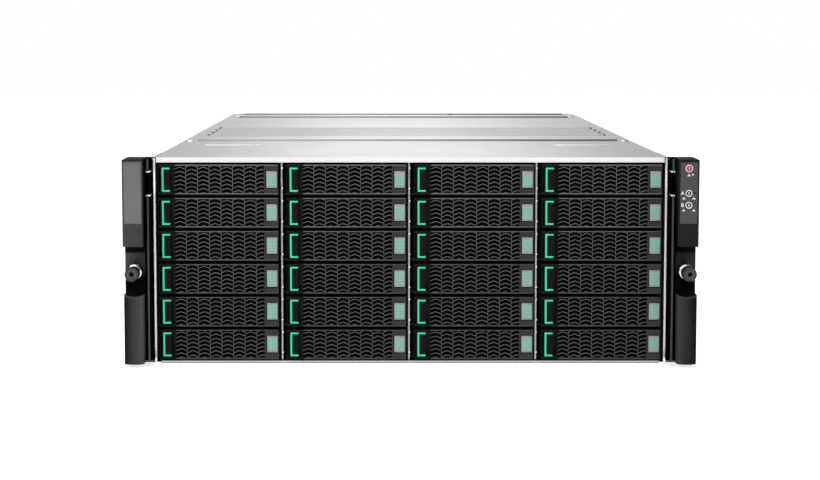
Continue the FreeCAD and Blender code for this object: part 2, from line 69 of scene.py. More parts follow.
BUTTON_LOW, BUTTON_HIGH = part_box("power_button_a")
CAGE_LOW, CAGE_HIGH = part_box("drive_cage")
FRONT = CHASSIS_LOW.y
FACE = CARRIER_LOW.y
REAR = CHASSIS_HIGH.y
SCREW_X = (SCREW_LOW.x + SCREW_HIGH.x) / 2
SCREW_Z = (SCREW_LOW.z + SCREW_HIGH.z) / 2
BEAD_HEIGHT = 0.0008
LID_TOP = TOP_HIGH.z - BEAD_HEIGHT
MIRROR_X = Matrix.Scale(-1, 4, (1, 0, 0))
SIDES = {"right": Matrix.Identity(4), "left": MIRROR_X}
SMOOTH_ANGLE = math.radians(35)
SHARP_ANGLE = math.radians(25)
CORNER_ANGLE = math.radians(50)
FRONT_FACING = 0.6
FRONT_SKIN = 0.001
INK = 0.0001
NEAR = 1e-6
MERGE = 1e-7


def tone(red, green=None, blue=None):
    """A screen colour from 0 to 255 as linear light."""
    levels = [red / 255, (red if green is None else green) / 255, (red if blue is None else blue) / 255]
    return tuple(v / 12.92 if v <= 0.04045 else ((v + 0.055) / 1.055) ** 2.4 for v in levels)


SHADOW = tone(8)


def length(name, description, default):
    """A setting in metres."""
    return FloatProperty(name=name, description=description, default=default, unit="LENGTH")


def number(name, description, default):
    """A setting without a unit."""
    return FloatProperty(name=name, description=description, default=default)


def count(name, description, default):
    """A whole number of pieces as a setting."""
    return IntProperty(name=name, description=description, default=default)


def pigment(name, description, default):
    """A setting for a colour in linear light."""
    return FloatVectorProperty(
        name=name, description=description, subtype="COLOR", size=3, min=0, max=1, default=default
    )


def spot(name, description, default):
    """A setting for a place in space."""
    return FloatVectorProperty(
        name=name, description=description, subtype="TRANSLATION", size=3, default=default
    )


class CarrierSettings(bpy.types.PropertyGroup):
    """Sizes of the drive carriers' fronts."""

    frame_depth: length("Frame depth", "Depth of the moulded front", 0.0102)
    frame_edge: length("Frame edge", "Rounding of the moulded front's edges", 0.0004)
    frame_short: length(
        "Frame short", "How far the moulded front ends before the sled's right side", 0.0015
    )
    rim_height: length("Rim height", "Height of the rims along the front's upper and lower edge", 0.0009)
    upper_rim: length("Upper rim", "From the front's upper edge to its rim", 0.0001)
    lower_rim: length("Lower rim", "From the front's lower edge to its rim", 0.0006)
    rim_proud: length("Rim proud", "How far the rims stand before the front", 0.0003)
    latch_zone: length("Latch zone", "Width of the housing round the latch", 0.0130)
    latch_side: length("Latch side wall", "Wall at the left of the latch", 0.0008)
    latch_strap: length("Latch strap", "Strap above and below the latch", 0.0023)
    grille_left: length("Grille left", "Left edge of the grille's opening from the carrier's left", 0.0142)
    grille_right: length(
        "Grille right", "Right edge of the grille's opening from the carrier's left", 0.0897
    )
    grille_rail: length("Grille rail", "Frame above and below the grille", 0.00105)
    grille_setback: length("Grille setback", "How far the grille sits behind the frame", 0.0006)
    grille_sheet: length("Grille sheet", "Thickness of the grille", 0.0010)
    slot_pitch: length("Slot pitch", "Width of one column of chevron slots", 0.0099)
    row_pitch: length("Row pitch", "Height of one row of chevron slots", 0.0036)
    slot_web: length("Slot web", "Metal between neighbouring columns", 0.0003)
    slot_rib: length("Slot rib", "Metal between neighbouring rows", 0.00055)
    slot_rise: length("Slot rise", "Height of a chevron's point above its ends", 0.0019)
    slot_bevel: length("Slot bevel", "Bevel of the slots' front edges", 0.00015)
    first_slot: length("First slot", "Point of the first whole chevron from the carrier's left", 0.0186)
    window_left: length("Window left", "Left edge of the window plate from the carrier's left", 0.0918)
    window_width: length("Window width", "Width of the window plate", 0.0092)
    window_height: length("Window height", "Height of the window plate", 0.0144)
    window_raise: length("Window raise", "Window plate above the middle of the front", 0.0003)
    window_gap: length("Window gap", "Shadow gap round the window plate", 0.0005)
    rail: length("Rail", "Thickness of the sled's side rails", 0.00075)
    duct_sheet: length("Duct sheet", "Thickness of the air duct between the front and the drive", 0.0005)
    drive_front: length("Drive front", "Front of the disk drive behind the carrier's front", 0.030)
    drive_length: length("Drive length", "Length of the disk drive", 0.147)
    drive_edge: length("Drive edge", "Rounding of the disk drive's edges", 0.0012)
    pocket_floor: length("Pocket floor", "Thickness of the floor behind the latch", 0.0012)
    window_recess: length("Window recess", "Floor round the window plate, behind the front", 0.0014)
    plate_setback: length("Plate setback", "Window plate behind the front", 0.0004)
    plate_sheet: length("Plate sheet", "Thickness of the window plate", 0.0012)
    plate_edge: length("Plate edge", "Rounding of the window plate's edges", 0.0003)
    rail_edge: length("Rail edge", "Rounding of the rails' edges", 0.0002)
    rail_past_drive: length("Rail past drive", "How far the rails reach past the drive", 0.003)
    drive_side: length("Drive side", "Drive from the carrier's sides", 0.00095)
    drive_gap: length("Drive gap", "Drive from the carrier's underside and top", 0.00015)
    cover_proud: length("Cover proud", "Height of the drive's cover over its body", 0.001)
    cover_sunk: length("Cover sunk", "How far the cover goes into the drive's body", 0.00025)
    cover_side: length("Cover side", "Drive's cover from the carrier's sides", 0.003)
    cover_end: length("Cover end", "Drive's cover from the drive's ends", 0.002)
    plug_half: length("Plug half width", "Half the width of the drive's plug", 0.021)
    plug_length: length("Plug length", "Length of the drive's plug", 0.005)
    plug_height: length("Plug height", "Height of the drive's plug", 0.006)
    trim_edge: length("Trim edge", "Rounding of the drive's cover and plug", 0.0004)


class LatchSettings(bpy.types.PropertyGroup):
    """Sizes of the release latches."""

    left: length("Left", "Left edge of the green handle from the carrier's left", 0.0032)
    width: length("Width", "Width of the green handle", 0.0070)
    bar: length("Bar", "Upright bar of the green handle", 0.0016)
    flange: length("Flange", "Level arms of the green handle", 0.0015)
    edge: length("Edge", "Rounding of the handle's edges", 0.00035)
    hinge_from_side: length("Hinge from side", "Hinge axis from the carrier's left", 0.0026)
    hinge_from_front: length("Hinge from front", "Hinge axis behind the carrier's front", 0.0024)
    pin_radius: length("Pin radius", "Radius of the hinge pin", 0.0008)
    pin_bite: length("Pin bite", "How far the pin goes into the housing", 0.0013)
    pad_setback: length("Pad setback", "Finger pad behind the front", 0.0008)
    pad_depth: length("Pad depth", "Depth of the finger pad", 0.0054)
    pad_curve: length("Pad curve", "Rounding of the finger pad beside the bar", 0.0012)
    pad_edge: length("Pad edge", "Rounding of the finger pad's free end", 0.0005)
    web_half: length("Web half depth", "Half the depth of the web to the hinge pin", 0.001)
    web_edge: length("Web edge", "Rounding of the web's edges", 0.0003)


class EarSettings(bpy.types.PropertyGroup):
    """Sizes of the rack ears."""

    width: length("Width", "Width of a moulded cover", 0.0166)
    reach: length("Reach", "How far a cover stands before the bays", 0.025)
    back: length("Back", "Back of a cover behind the bay front", 0.0083)
    recess: length("Recess floor", "Floor of the screw recess before the bay front", 0.012)
    scoop: length("Scoop radius", "Radius of the recess round the screw", 0.021)
    recess_above: length("Recess above screw", "Top of the recess above the screw", 0.02185)
    rounding: length("Rounding", "Rounding of the lower block's upright edges", 0.0018)
    bulge: length("Bulge", "How far the lower block's front curves back at its sides", 0.0028)
    edge: length("Edge", "Rounding of the other edges", 0.0006)
    plate_height: length("Plate height", "Height of the inset front plate", 0.0514)
    plate_from_top: length("Plate from top", "Top of the plate below the cover's top", 0.0022)
    plate_margin: length("Plate margin", "Cover left and right of the plate", 0.0007)
    plate_outer_margin: length("Plate outer margin", "Cover at the plate's outer side", 0.0015)
    bracket_sheet: length("Bracket sheet", "Thickness of the folded bracket", 0.0016)
    bracket_standoff: length(
        "Bracket standoff", "Outer face of the bracket's leg beside the chassis", 0.0020
    )
    bracket_reach: length("Bracket reach", "How far the bracket's leg stands before the bays", 0.018)
    bracket_raise: length("Bracket raise", "Lower end of the bracket's leg above the cover's", 0.0010)
    fold_cover: length("Fold cover", "How far the bracket folds over the chassis edge", 0.0012)
    toe_cover: length("Toe cover", "How far the bracket's lower end reaches over the chassis edge", 0.0038)
    notch_top: length("Notch top", "Top of the leg's notch below the cover's top", 0.0111)
    notch_height: length("Notch height", "Height of the leg's notch", 0.0190)
    notch_depth: length("Notch depth", "Depth of the leg's notch", 0.009)
    flange_sheet: length("Flange sheet", "Thickness of the rack flange", 0.002)
    flange_hole: length("Flange hole", "Width of the screw's hole in the flange", 0.008)
    sheet_edge: length("Sheet edge", "Rounding of the bracket's edges", 0.0003)
    fold_sheet: length("Fold sheet", "Thickness of the bracket's fold", 0.0012)
    fold_gap: length("Fold gap", "Gap between the bracket's fold and the chassis edge", 0.0006)
    fold_lap: length("Fold lap", "How far the fold goes into the bracket's leg", 0.0008)
    fold_drop: length("Fold drop", "Top of the fold below the cover's top", 0.001)
    lip_sheet: length("Lip sheet", "Thickness of the notch's lips", 0.0009)
    lip_below: length("Lip below", "Lower lip's underside below the notch", 0.001)
    lip_above: length("Lip above", "Upper lip's underside above the notch", 0.0001)
    lip_inward: length("Lip inward", "How far the lips stand out inwards", 0.0012)
    lip_outward: length("Lip outward", "How far the lips stand out outwards", 0.0004)
    plate_sheet: length("Plate sheet", "Thickness of the inset front plate", 0.0012)
    hole_margin: length("Hole margin", "Strip of plate round a button's hole", 0.0012)
    ferrule_length: length("Ferrule length", "How far the ferrule stands out", 0.007)
    ferrule_bore: length("Ferrule bore", "Radius of the ferrule's bore", 0.0037)
    ferrule_foot: length("Ferrule foot", "Radius of the ferrule's foot", 0.0065)
    ferrule_waist: length("Ferrule waist", "Radius of the ferrule's waist", 0.0058)
    ferrule_collar: length("Ferrule collar", "Radius of the ferrule's front collar", 0.0062)
    # The pale rim round the screw recess is a painted highlight.
    scoop_highlight: length("Scoop rim", "Width of the pale rim round the screw recess", 0.0007)
    front_skin: length("Front skin", "Depth of the blocks that keeps their front's colour", 0.006)
    top_edge: length("Top edge", "Height of the dark edge along the cover's top", 0.0008)
    # The grey along the bracket's front edge is a painted highlight.
    edge_highlight: length("Worn edge", "Depth of the bracket's worn front edge", 0.0004)


class ChassisSettings(bpy.types.PropertyGroup):
    """Places of the small features on the lid and the dividers."""

    roof_depth: length("Roof depth", "Fold between the roof and the middle lid, behind the front", 0.219)
    fold_height: length("Fold height", "How far the folded lid edges stand up", 0.0012)
    fold_half: length("Fold half length", "Half the length of the middle lid's folded edge", 0.205)
    bead_count: count("Beads", "Cross beads of the middle lid", 4)
    last_bead: length("Last bead", "Rearmost cross bead behind the front", 0.4238)
    bead_pitch: length("Bead pitch", "Distance between cross beads", 0.040)
    rivet_half: length("Rivet place", "Rivets at the beads' ends, from the middle", 0.202)
    rivet_radius: length("Rivet radius", "Radius of the rivets at the beads' ends", 0.0024)
    tab_half: length("Tab place", "Small lid tabs, from the middle", 0.2105)
    rear_fold: length("Rear fold", "Rearmost lid fold before the rear end", 0.0035)
    rear_fold_pitch: length("Rear fold pitch", "Distance between the two rear folds", 0.074)
    rear_fold_half: length("Rear fold half length", "Half the length of the rear folds", 0.203)
    notch_place: length("Notch place", "Finger notch in the last fold, from the middle", 0.056)
    tooth_high: length("Upper tooth", "Upper bright tooth of a divider below a carrier's top", 0.0034)
    tooth_width: length("Tooth width", "Width of a divider's teeth", 0.0018)
    tooth_gap: length("Tooth gap", "Gap between the teeth and the carriers at their left", 0.0003)
    tooth_height: length("Tooth height", "Height of a divider's teeth", 0.0016)
    tooth_low: length("Lower tooth", "Lower bright tooth of a divider below a carrier's top", 0.0208)
    fold_depth: length("Fold depth", "Depth of the folded lid edges", 0.002)
    rear_fold_lead: length("Rear fold lead", "How far a rear fold starts before its line", 0.004)
    rear_fold_height: length("Rear fold height", "How far the rear folds stand up", 0.0013)
    tab_reach: length("Tab reach", "Half the width of the lid tabs", 0.003)
    tab_lead: length("Tab lead", "Front of the lid tabs before the roof's end", 0.011)
    tab_depth: length("Tab depth", "Depth of the lid tabs", 0.006)
    tab_height: length("Tab height", "How far the lid tabs stand up", 0.0011)
    rear_tab_depth: length("Rear tab depth", "Depth of the tabs beside the rear fold", 0.03)
    crease_place: length("Crease place", "Middle of the roof's creases, from the middle", 0.164)
    crease_half: length("Crease half length", "Half the length of the roof's creases", 0.026)
    crease_lead: length("Crease lead", "Creases before the roof's end", 0.065)
    crease_depth: length("Crease depth", "Depth of the roof's creases", 0.0012)
    crease_height: length("Crease height", "How far the creases stand up", 0.0004)
    notch_half: length("Notch half width", "Half the width of the finger notch", 0.006)
    notch_lead: length("Notch lead", "Front of the finger notch before the last fold", 0.012)
    notch_depth: length("Notch depth", "Depth of the finger notch", 0.009)
    notch_height: length("Notch height", "How far the finger notch stands up", 0.0015)
    tooth_proud: length("Tooth proud", "How far a tooth stands before its divider", 0.0006)
    tooth_sunk: length("Tooth sunk", "How far a tooth goes into its divider", 0.0004)
    tooth_edge: length("Tooth edge", "Rounding of the teeth", 0.0003)
    bead_shade_front: length("Bead shade front", "Front of the darker zone of the beads", 0.285)
    bead_shade_rear: length("Bead shade rear", "Rear of the darker zone of the beads", 0.442)
    # The dark gaps at the hem's ends and under it are painted shadow on the hem.
    hem_shadow_outer: length("Hem gap outer", "Outer side of the dark gap at the hem's ends", 0.0004)
    hem_shadow_inner: length("Hem gap inner", "Inner side of the dark gap at the hem's ends", 0.0018)
    hem_shadow_drop: length("Hem drop", "Dark gap under the hem below the lid's top", 0.0043)
    # The lower lip is painted: painted shade along its foot, a painted shadow gap over it, painted shadow at
    # the foot of its ends and painted highlights on its ends.
    lip_shade: length("Lip shade", "Height of the shade along the lower lip", 0.001)
    lip_shadow_gap: length("Lip gap", "Height of the dark gap over the lower lip", 0.0016)
    lip_corner_shadow: length("Lip corner", "Height of the dark foot of the lip's ends", 0.0008)
    lip_highlight_width: length("Lip end", "Width of the lip's bright ends", 0.004)


class ModuleSettings(bpy.types.PropertyGroup):
    """Places of the features on the rear modules."""

    ports_from_side: length("Ports from side", "First port from a controller's left", 0.029)
    ports_height: length("Ports height", "Middle of the ports above a controller's underside", 0.0162)
    port_gap: length("Port gap", "Distance between neighbouring ports", 0.003)
    port_height: length("Port height", "Height of a port", 0.009)
    jack_width: length("Jack width", "Width of a network jack", 0.012)
    jack_count: count("Jacks", "Network jacks of a controller", 2)
    cage_width: length("Cage width", "Width of a transceiver cage", 0.014)
    cage_count: count("Cages", "Transceiver cages of a controller", 4)
    vent_margin: length("Vent margin", "Vents from a module's edges", 0.012)
    vent_height: length("Vent height", "Height of a controller's vents", 0.022)
    power_vent_from_top: length("Power vent from top", "Vents of a power supply below its top", 0.029)
    power_vent_height: length("Power vent height", "Height of a power supply's vents", 0.024)
    screen_pitch: length("Screen pitch", "Distance between the holes of the vent screens", 0.0036)
    screen_wire: length("Screen wire", "Metal between the holes of the vent screens", 0.0009)
    inlet_from_side: length(
        "Inlet from side", "Middle of the mains inlet from a power supply's left", 0.0235
    )
    inlet_height: length(
        "Inlet height", "Middle of the mains inlet above a power supply's underside", 0.01775
    )
    screen_setback: length("Screen setback", "Vent screens before the rear", 0.0026)
    screen_sheet: length("Screen sheet", "Thickness of the vent screens", 0.0006)
    port_rim: length("Port rim", "Width of a port's frame", 0.0007)
    port_sunk: length("Port sunk", "How far a port's frame goes into the rear", 0.001)
    port_proud: length("Port proud", "How far a port's frame stands out", 0.0006)
    port_lamp_radius: length("Port lamp radius", "Radius of the lamps over the ports", 0.0009)
    lamp_radius: length("Lamp radius", "Radius of the other status lamps", 0.0012)
    lamp_count: count("Lamps", "Status lamps of a controller", 3)
    lamps_from_ports: length("Lamps from ports", "First status lamp after the ports", 0.016)
    lamp_pitch: length("Lamp pitch", "Distance between a controller's lamps", 0.007)
    screw_from_side: length("Screw from side", "Captive screws from a controller's sides", 0.010)
    contact_width: length("Contact width", "Width of an inlet contact", 0.002)
    contact_height: length("Contact height", "Height of an inlet contact", 0.004)
    contact_aside: length("Contact aside", "Outer inlet contacts from the inlet's middle", 0.007)
    contact_drop: length("Contact drop", "Outer inlet contacts below the inlet's middle", 0.002)
    contact_raise: length("Contact raise", "Middle inlet contact above the inlet's middle", 0.003)
    contact_edge: length("Contact edge", "Rounding of the inlet contacts", 0.0004)
    contact_setback: length("Contact setback", "Tips of the inlet contacts before the rear", 0.004)
    contact_root: length("Contact root", "Roots of the inlet contacts before the rear", 0.0165)
    power_lamp_count: count("Power lamps", "Status lamps of a power supply", 2)
    power_lamp_from_side: length("Power lamp place", "First lamp from a supply's right", 0.014)
    power_lamp_pitch: length("Power lamp pitch", "Distance between a supply's lamps", 0.008)


class ColourSettings(bpy.types.PropertyGroup):
    """Colours of the finishes."""

    steel: pigment("Bare steel", "Top panels and chassis", tone(238))
    carrier: pigment("Carrier black", "Moulded carrier fronts", tone(23))
    grille: pigment("Grille", "Chevron grilles", tone(100))
    latch: pigment("Latch green", "Handles of the latches", tone(62, 244, 188))
    window: pigment("Window grey", "Window plates", tone(166, 163, 165))
    bars: pigment("Window bars", "Bars on the window plates", tone(120, 204, 178))
    # left_ear and right_ear are the same black plastic, and so are left_plate and right_plate: the left ones
    # are paler as painted light. lower_ear is the lit inner side of the lower blocks, which fades to painted
    # shade outwards.
    left_ear: pigment("Left ear black", "Upper block of the left ear", tone(87))
    right_ear: pigment("Right ear black", "Upper block of the right ear", tone(46))
    lower_ear: pigment("Lower ear black", "Inner side of the ears' lower blocks", tone(100))
    left_plate: pigment("Left plate", "Inset plate of the left ear", tone(99))
    right_plate: pigment("Right plate", "Inset plate of the right ear", tone(56))


class PanelSettings(bpy.types.PropertyGroup):
    """Sizes of the control panel's marks, indicator and buttons."""

    button_gap: length("Button gap", "Gap round a power button", 0.0001)
    button_ring: length("Button ring", "Width of the printed ring on a button", 0.0008)
    dish_radius: length("Dish radius", "Radius of the hollow in a button's front", 0.0016)
    dish_depth: length("Dish depth", "Depth of the hollow in a button's front", 0.0003)
    bar_half_height: length("Bar half height", "Half the height of a button's printed bar", 0.0012)
    bar_depth: length("Bar depth", "Depth of a button's printed bar", 0.0004)
    lamp_from_top: length("Lamp from top", "Indicator below the ear's top", 0.0071)
    lamp_radius: length("Lamp radius", "Radius of the red indicator", 0.0022)
    lamp_flat: length("Lamp flat", "Radius of the indicator's flat front", 0.0019)
    lamp_rise: length("Lamp rise", "How far the indicator stands out", 0.0003)
    lamp_ring: length("Lamp ring", "Radius of the printed ring round the indicator", 0.0033)
    mark_half_width: length("Mark half width", "Half the width of the upright marks", 0.0004)
    mark_half_height: length("Mark half height", "Half the height of the indicator's mark", 0.0011)
    lamp_arrow_aside: length("Lamp arrow place", "Arrow below the indicator, to the right", -0.0002)
    lamp_arrow_drop: length("Lamp arrow drop", "Arrow below the indicator, downwards", 0.0055)
    dot_aside: length("Dot place", "Dot beside that arrow, from the indicator", 0.0031)
    dot_drop: length("Dot drop", "Dot below the indicator", 0.0052)
    dot_radius: length("Dot radius", "Radius of the dot", 0.0008)
    letter_aside: length("Letter place", "Letters from the buttons' middle", 0.0053)
    letter_size: length("Letter size", "Size of the letters", 0.0042)
    arrow_aside: length("Arrow place", "Arrows from the buttons' middle", 0.0042)
    arrow_drop: length("Arrow drop", "Arrows below the buttons' middle", 0.0041)
    arrow_size: length("Arrow size", "Width of the arrows", 0.0029)


class ScrewSettings(bpy.types.PropertyGroup):
    """Sizes of the thumb screws."""

    knob_radius: length("Knob radius", "Radius of the knob", 0.006)
    knob_length: length("Knob length", "Length of the knob", 0.012)
    knurls: count("Knurls", "Ridges round the knob", 24)
    knurl_share: number("Knurl depth", "Share of the knob's radius that its grooves go in", 0.035)
    shank_radius: length("Shank radius", "Radius of the shank in the ferrule", 0.0036)
    thread_radius: length("Thread radius", "Radius of the screw end", 0.003)
    plug_radius: length("Plug radius", "Radius of the knob's centre", 0.0029)
    plug_setback: length("Plug setback", "Knob's centre behind its front", 0.0004)
    cross_field: length("Cross field", "Square that holds the cross recess", 0.0033)
    cross_depth: length("Cross depth", "Depth of the cross recess", 0.0012)


class StageSettings(bpy.types.PropertyGroup):
    """Camera, floor and light."""

    camera_place: spot("Camera place", "Where the camera stands", (-0.018, -1.8157, 0.2848))
    camera_pitch: FloatProperty(
        name="Camera pitch", description="Tilt downwards", default=math.radians(4.494), subtype="ANGLE"
    )
    lens: FloatProperty(
        name="Lens", description="Focal length in millimetres", default=74.97, subtype="DISTANCE_CAMERA"
    )
    shift: number("Shift", "Upright shift of the picture", -0.0932)
    shift_aside: number("Shift aside", "Sideways shift of the picture", 0.0255)
    ambient: number("Ambient", "Strength of the even light", 0.35)
    rear_wall: number("Rear wall", "Reflected light from behind", 0.5)
    rear_card: number("Rear card", "Reflected light from the card straight behind", 0.6)
    front_wall: number("Front wall", "Reflected light from the front", 0.1)
    front_card: number("Front card", "Reflected light from the card in front", 1.25)
    floor_half: length("Floor half length", "Half the length of the floor", 6.0)
    floor_shine: number("Floor shine", "White of the floor in shiny surfaces", 1.0)
    floor_glow: number("Floor glow", "White of the floor to the camera", 0.75)
    key: FloatProperty(
        name="Key light", description="Power of the large front lamp", default=10.0, unit="POWER"
    )
    key_place: spot("Key place", "Where the front lamp hangs", (-1.0, -1.9, 0.9))
    key_aim: spot("Key aim", "Where the front lamp points", (0, -0.3, 0.08))
    key_width: length("Key width", "Width of the front lamp", 1.0)
    key_height: length("Key height", "Height of the front lamp", 0.8)
    fill: FloatProperty(
        name="Top light", description="Power of the lamp above", default=30.0, unit="POWER"
    )
    fill_place: spot("Top place", "Where the lamp above hangs", (0, -0.7, 2.0))
    fill_aim: spot("Top aim", "Where the lamp above points", (0, -0.3, 0.1))
    fill_width: length("Top width", "Width of the lamp above", 1.8)
    fill_depth: length("Top depth", "Depth of the lamp above", 0.9)


SETTINGS = {
    "array_carrier": CarrierSettings,
    "array_latch": LatchSettings,
    "array_ear": EarSettings,
    "array_panel": PanelSettings,
    "array_screw": ScrewSettings,
    "array_chassis": ChassisSettings,
    "array_module": ModuleSettings,
    "array_colour": ColourSettings,
    "array_stage": StageSettings,
}


# Shapes
def facing_front(x, y, z, width=1, height=1):
    """A matrix that stands a flat shape up to face the front, at a place and in a size."""
    size = Matrix.Diagonal((width, height, 1, 1))
    return Matrix.Translation((x, y, z)) @ Matrix.Rotation(math.pi / 2, 4, "X") @ size


def block(low, high):
    """A block between two corners."""
    low, high = Vector(low), Vector(high)
    shape = bmesh.new()
    matrix = Matrix.Translation((low + high) / 2) @ Matrix.Diagonal((*(high - low), 1))
    bmesh.ops.create_cube(shape, size=1, matrix=matrix)
    return shape


def pull(shape, faces, way):
    """Extrude faces along a vector."""
    made = bmesh.ops.extrude_face_region(shape, geom=faces)["geom"]
    verts = [v for v in made if isinstance(v, bmesh.types.BMVert)]
    bmesh.ops.translate(shape, vec=way, verts=verts)


def thicken(shape, way):
    """Pull a flat shape out into a solid along a vector."""
    pull(shape, shape.faces[:], way)
    bmesh.ops.recalc_face_normals(shape, faces=shape.faces[:])
    return shape


def prism(corners, way):
    """A flat outline pulled out along a vector."""
    shape = bmesh.new()
    shape.faces.new([shape.verts.new(c) for c in corners])
    return thicken(shape, way)


def upright_sheet(x0, x1, z0, z1, y, columns=1, rows=1):
    """An upright rectangle of equal cells that faces the front."""
    shape = bmesh.new()
    matrix = facing_front((x0 + x1) / 2, y, (z0 + z1) / 2, x1 - x0, z1 - z0)
    bmesh.ops.create_grid(shape, x_segments=columns, y_segments=rows, size=0.5, matrix=matrix)
    return shape


def cut(shape, place, normal, clear_outer=False):
    """Cut a shape's faces along a plane, and drop what lies beyond it where asked."""
    geom = shape.verts[:] + shape.edges[:] + shape.faces[:]
    bmesh.ops.bisect_plane(
        shape, geom=geom, dist=MERGE, plane_co=place, plane_no=normal, clear_outer=clear_outer
    )


def slice_at(shape, axis, place):
    """Cut a shape's faces across an axis and keep both sides."""
    way = Vector([axis == i for i in range(3)])
    cut(shape, way * place, way)


def trim(shape, axis, low, high):
    """Cut a shape off outside two places along an axis."""
    way = Vector([axis == i for i in range(3)])
    for place, outward in ((low, -way), (high, way)):
        cut(shape, way * place, outward, clear_outer=True)


def pierced_sheet(x0, x1, z0, z1, y0, y1, holes):
    """An upright plate from y0 to y1 with rectangular holes, each (x0, x1, z0, z1)."""
    shape = upright_sheet(x0, x1, z0, z1, y0)
    for hole in holes:
        for place in hole[:2]:
            slice_at(shape, 0, place)
        for place in hole[2:]:
            slice_at(shape, 2, place)
    gone = []
    for face in shape.faces:
        c = face.calc_center_median()
        if any(h[0] < c.x < h[1] and h[2] < c.z < h[3] for h in holes):
            gone.append(face)
    bmesh.ops.delete(shape, geom=gone, context="FACES")
    return thicken(shape, (0, y1 - y0, 0))


def bridge_circle(shape, rim, place, radius, segments):
    """Fill the sheet between a rim of edges and a new circle."""
    verts = bmesh.ops.create_circle(shape, segments=segments, radius=radius, matrix=place)["verts"]
    ring = list({e for v in verts for e in v.link_edges})
    bmesh.ops.bridge_loops(shape, edges=rim + ring)


def turned(profile, x, z, steps=32):
    """A round piece about an axis along Y, from (radius, y) points."""
    shape = bmesh.new()
    verts = [shape.verts.new((x + r, y, z)) for r, y in profile]
    edges = [shape.edges.new(pair) for pair in zip(verts, verts[1:])]
    bmesh.ops.spin(
        shape,
        geom=verts + edges,
        cent=(x, 0, z),
        axis=(0, 1, 0),
        dvec=(0, 0, 0),
        angle=2 * math.pi,
        steps=steps,
        use_merge=True,
        use_duplicate=False,
    )
    bmesh.ops.remove_doubles(shape, verts=shape.verts[:], dist=MERGE)
    bmesh.ops.recalc_face_normals(shape, faces=shape.faces[:])
    return shape


def is_sharp(edge):
    """True where two faces meet at a corner."""
    return len(edge.link_faces) == 2 and edge.calc_face_angle() > SHARP_ANGLE


def soften(shape, width, segments=2, pick=None):
    """Round the sharp edges that pick chooses, or all of them."""
    edges = [e for e in shape.edges if is_sharp(e) and (pick is None or pick(e))]
    bmesh.ops.bevel(
        shape,
        geom=edges,
        offset=width,
        offset_type="OFFSET",
        segments=segments,
        profile=0.5,
        affect="EDGES",
        clamp_overlap=True,
        material=-1,
    )
    return shape


def on_plane(edge, axis, place):
    """True where both ends of an edge lie on a plane."""
    return all(abs(v.co[axis] - place) < NEAR for v in edge.verts)


def moved(shape, matrix):
    """A shape put elsewhere, with its faces outward."""
    bmesh.ops.transform(shape, matrix=matrix, verts=shape.verts[:])
    if matrix.determinant() < 0:
        bmesh.ops.reverse_faces(shape, faces=shape.faces[:])
    return shape


class Piece:
    """One object while it is being shaped: joined shapes, each in a named finish."""

    def __init__(self):
        self.shape = bmesh.new()
        self.finishes = []

    def add(self, shape, finish, sides=None):
        """Join a shape in one finish, or with another on the faces that turn away from the front."""
        for used in (finish, sides or finish):
            if used not in self.finishes:
                self.finishes.append(used)
        if sides:
            shape.normal_update()
        for face in shape.faces:
            turned_away = sides and face.normal.y > -FRONT_FACING
            face.material_index = self.finishes.index(sides if turned_away else finish)
        mesh = bpy.data.meshes.new("joined")
        shape.to_mesh(mesh)
        shape.free()
        self.shape.from_mesh(mesh)
        bpy.data.meshes.remove(mesh)

    def mesh(self, name):
        """The finished mesh with its materials."""
        mesh = bpy.data.meshes.new(name)
        self.shape.to_mesh(mesh)
        self.shape.free()
        for finish in self.finishes:
            mesh.materials.append(finish_of(finish))
        mesh.shade_smooth()
        mesh.set_sharp_from_angle(angle=SMOOTH_ANGLE)
        return mesh

    def show(self, name, body, slot, stands_for=()):
        """Finish the mesh and put it on a body."""
        show(name, self.mesh(name), body, stands_for)


def show(name, mesh, body, stands_for=()):
    """Put a finished mesh on a body."""
    piece = bpy.data.objects.new(name, mesh)
    bpy.context.scene.collection.objects.link(piece)
    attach(piece, body)
    if stands_for:
        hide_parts(*stands_for)


# Finishes
class Wire:
    """A value in a material. Arithmetic on it adds Math nodes, and a bar takes the larger value."""

    def __init__(self, finish, socket):
        self.finish = finish
        self.socket = socket

    def math(self, operation, *values):
        return self.finish.node("ShaderNodeMath", {"operation": operation}, dict(enumerate(values)))

    def __add__(self, other):
        return self.math("ADD", self, other)

    __radd__ = __add__

    def __sub__(self, other):
        return self.math("SUBTRACT", self, other)

    def __rsub__(self, other):
        return self.math("SUBTRACT", other, self)

    def __mul__(self, other):
        return self.math("MULTIPLY", self, other)

    __rmul__ = __mul__

    def __gt__(self, other):
        return self.math("GREATER_THAN", self, other)

    def __lt__(self, other):
        return self.math("LESS_THAN", self, other)

    def __or__(self, other):
        return self.math("MAXIMUM", self, other)

    def __abs__(self):
        return self.math("ABSOLUTE", self)

    def within(self, low, high):
        """One between two limits, and zero elsewhere."""
        return (self > low) * (self < high)

    def fade(self, low, high):
        """From zero at low to one at high, smoothly."""
        limits = {"Value": self, "From Min": low, "From Max": high}
        return self.finish.node("ShaderNodeMapRange", {"interpolation_type": "SMOOTHSTEP"}, limits)


class Nodes:
    """A node tree and the shader that it feeds."""

    def __init__(self, tree, shader):
        self.tree = tree
        self.shader = next(n for n in tree.nodes if n.type == shader)

    def set(self, socket, value):
        """Set a constant on the shader's own socket, with an alpha where it is a colour."""
        value = (*value, 1) if isinstance(value, (tuple, list)) and len(value) == 3 else value
        self.shader.inputs[socket].default_value = value

    def node(self, kind, settings, sockets, output=0):
        """Add a node with its settings and the values or links of its sockets."""
        node = self.tree.nodes.new(kind)
        for name, value in settings.items():
            setattr(node, name, value)
        for name, value in sockets.items():
            if isinstance(value, Wire):
                self.tree.links.new(value.socket, node.inputs[name])
            else:
                node.inputs[name].default_value = value
        return Wire(self, node.outputs[output])

    def feed(self, socket, wire):
        """Link a value to the shader."""
        self.tree.links.new(wire.socket, self.shader.inputs[socket])


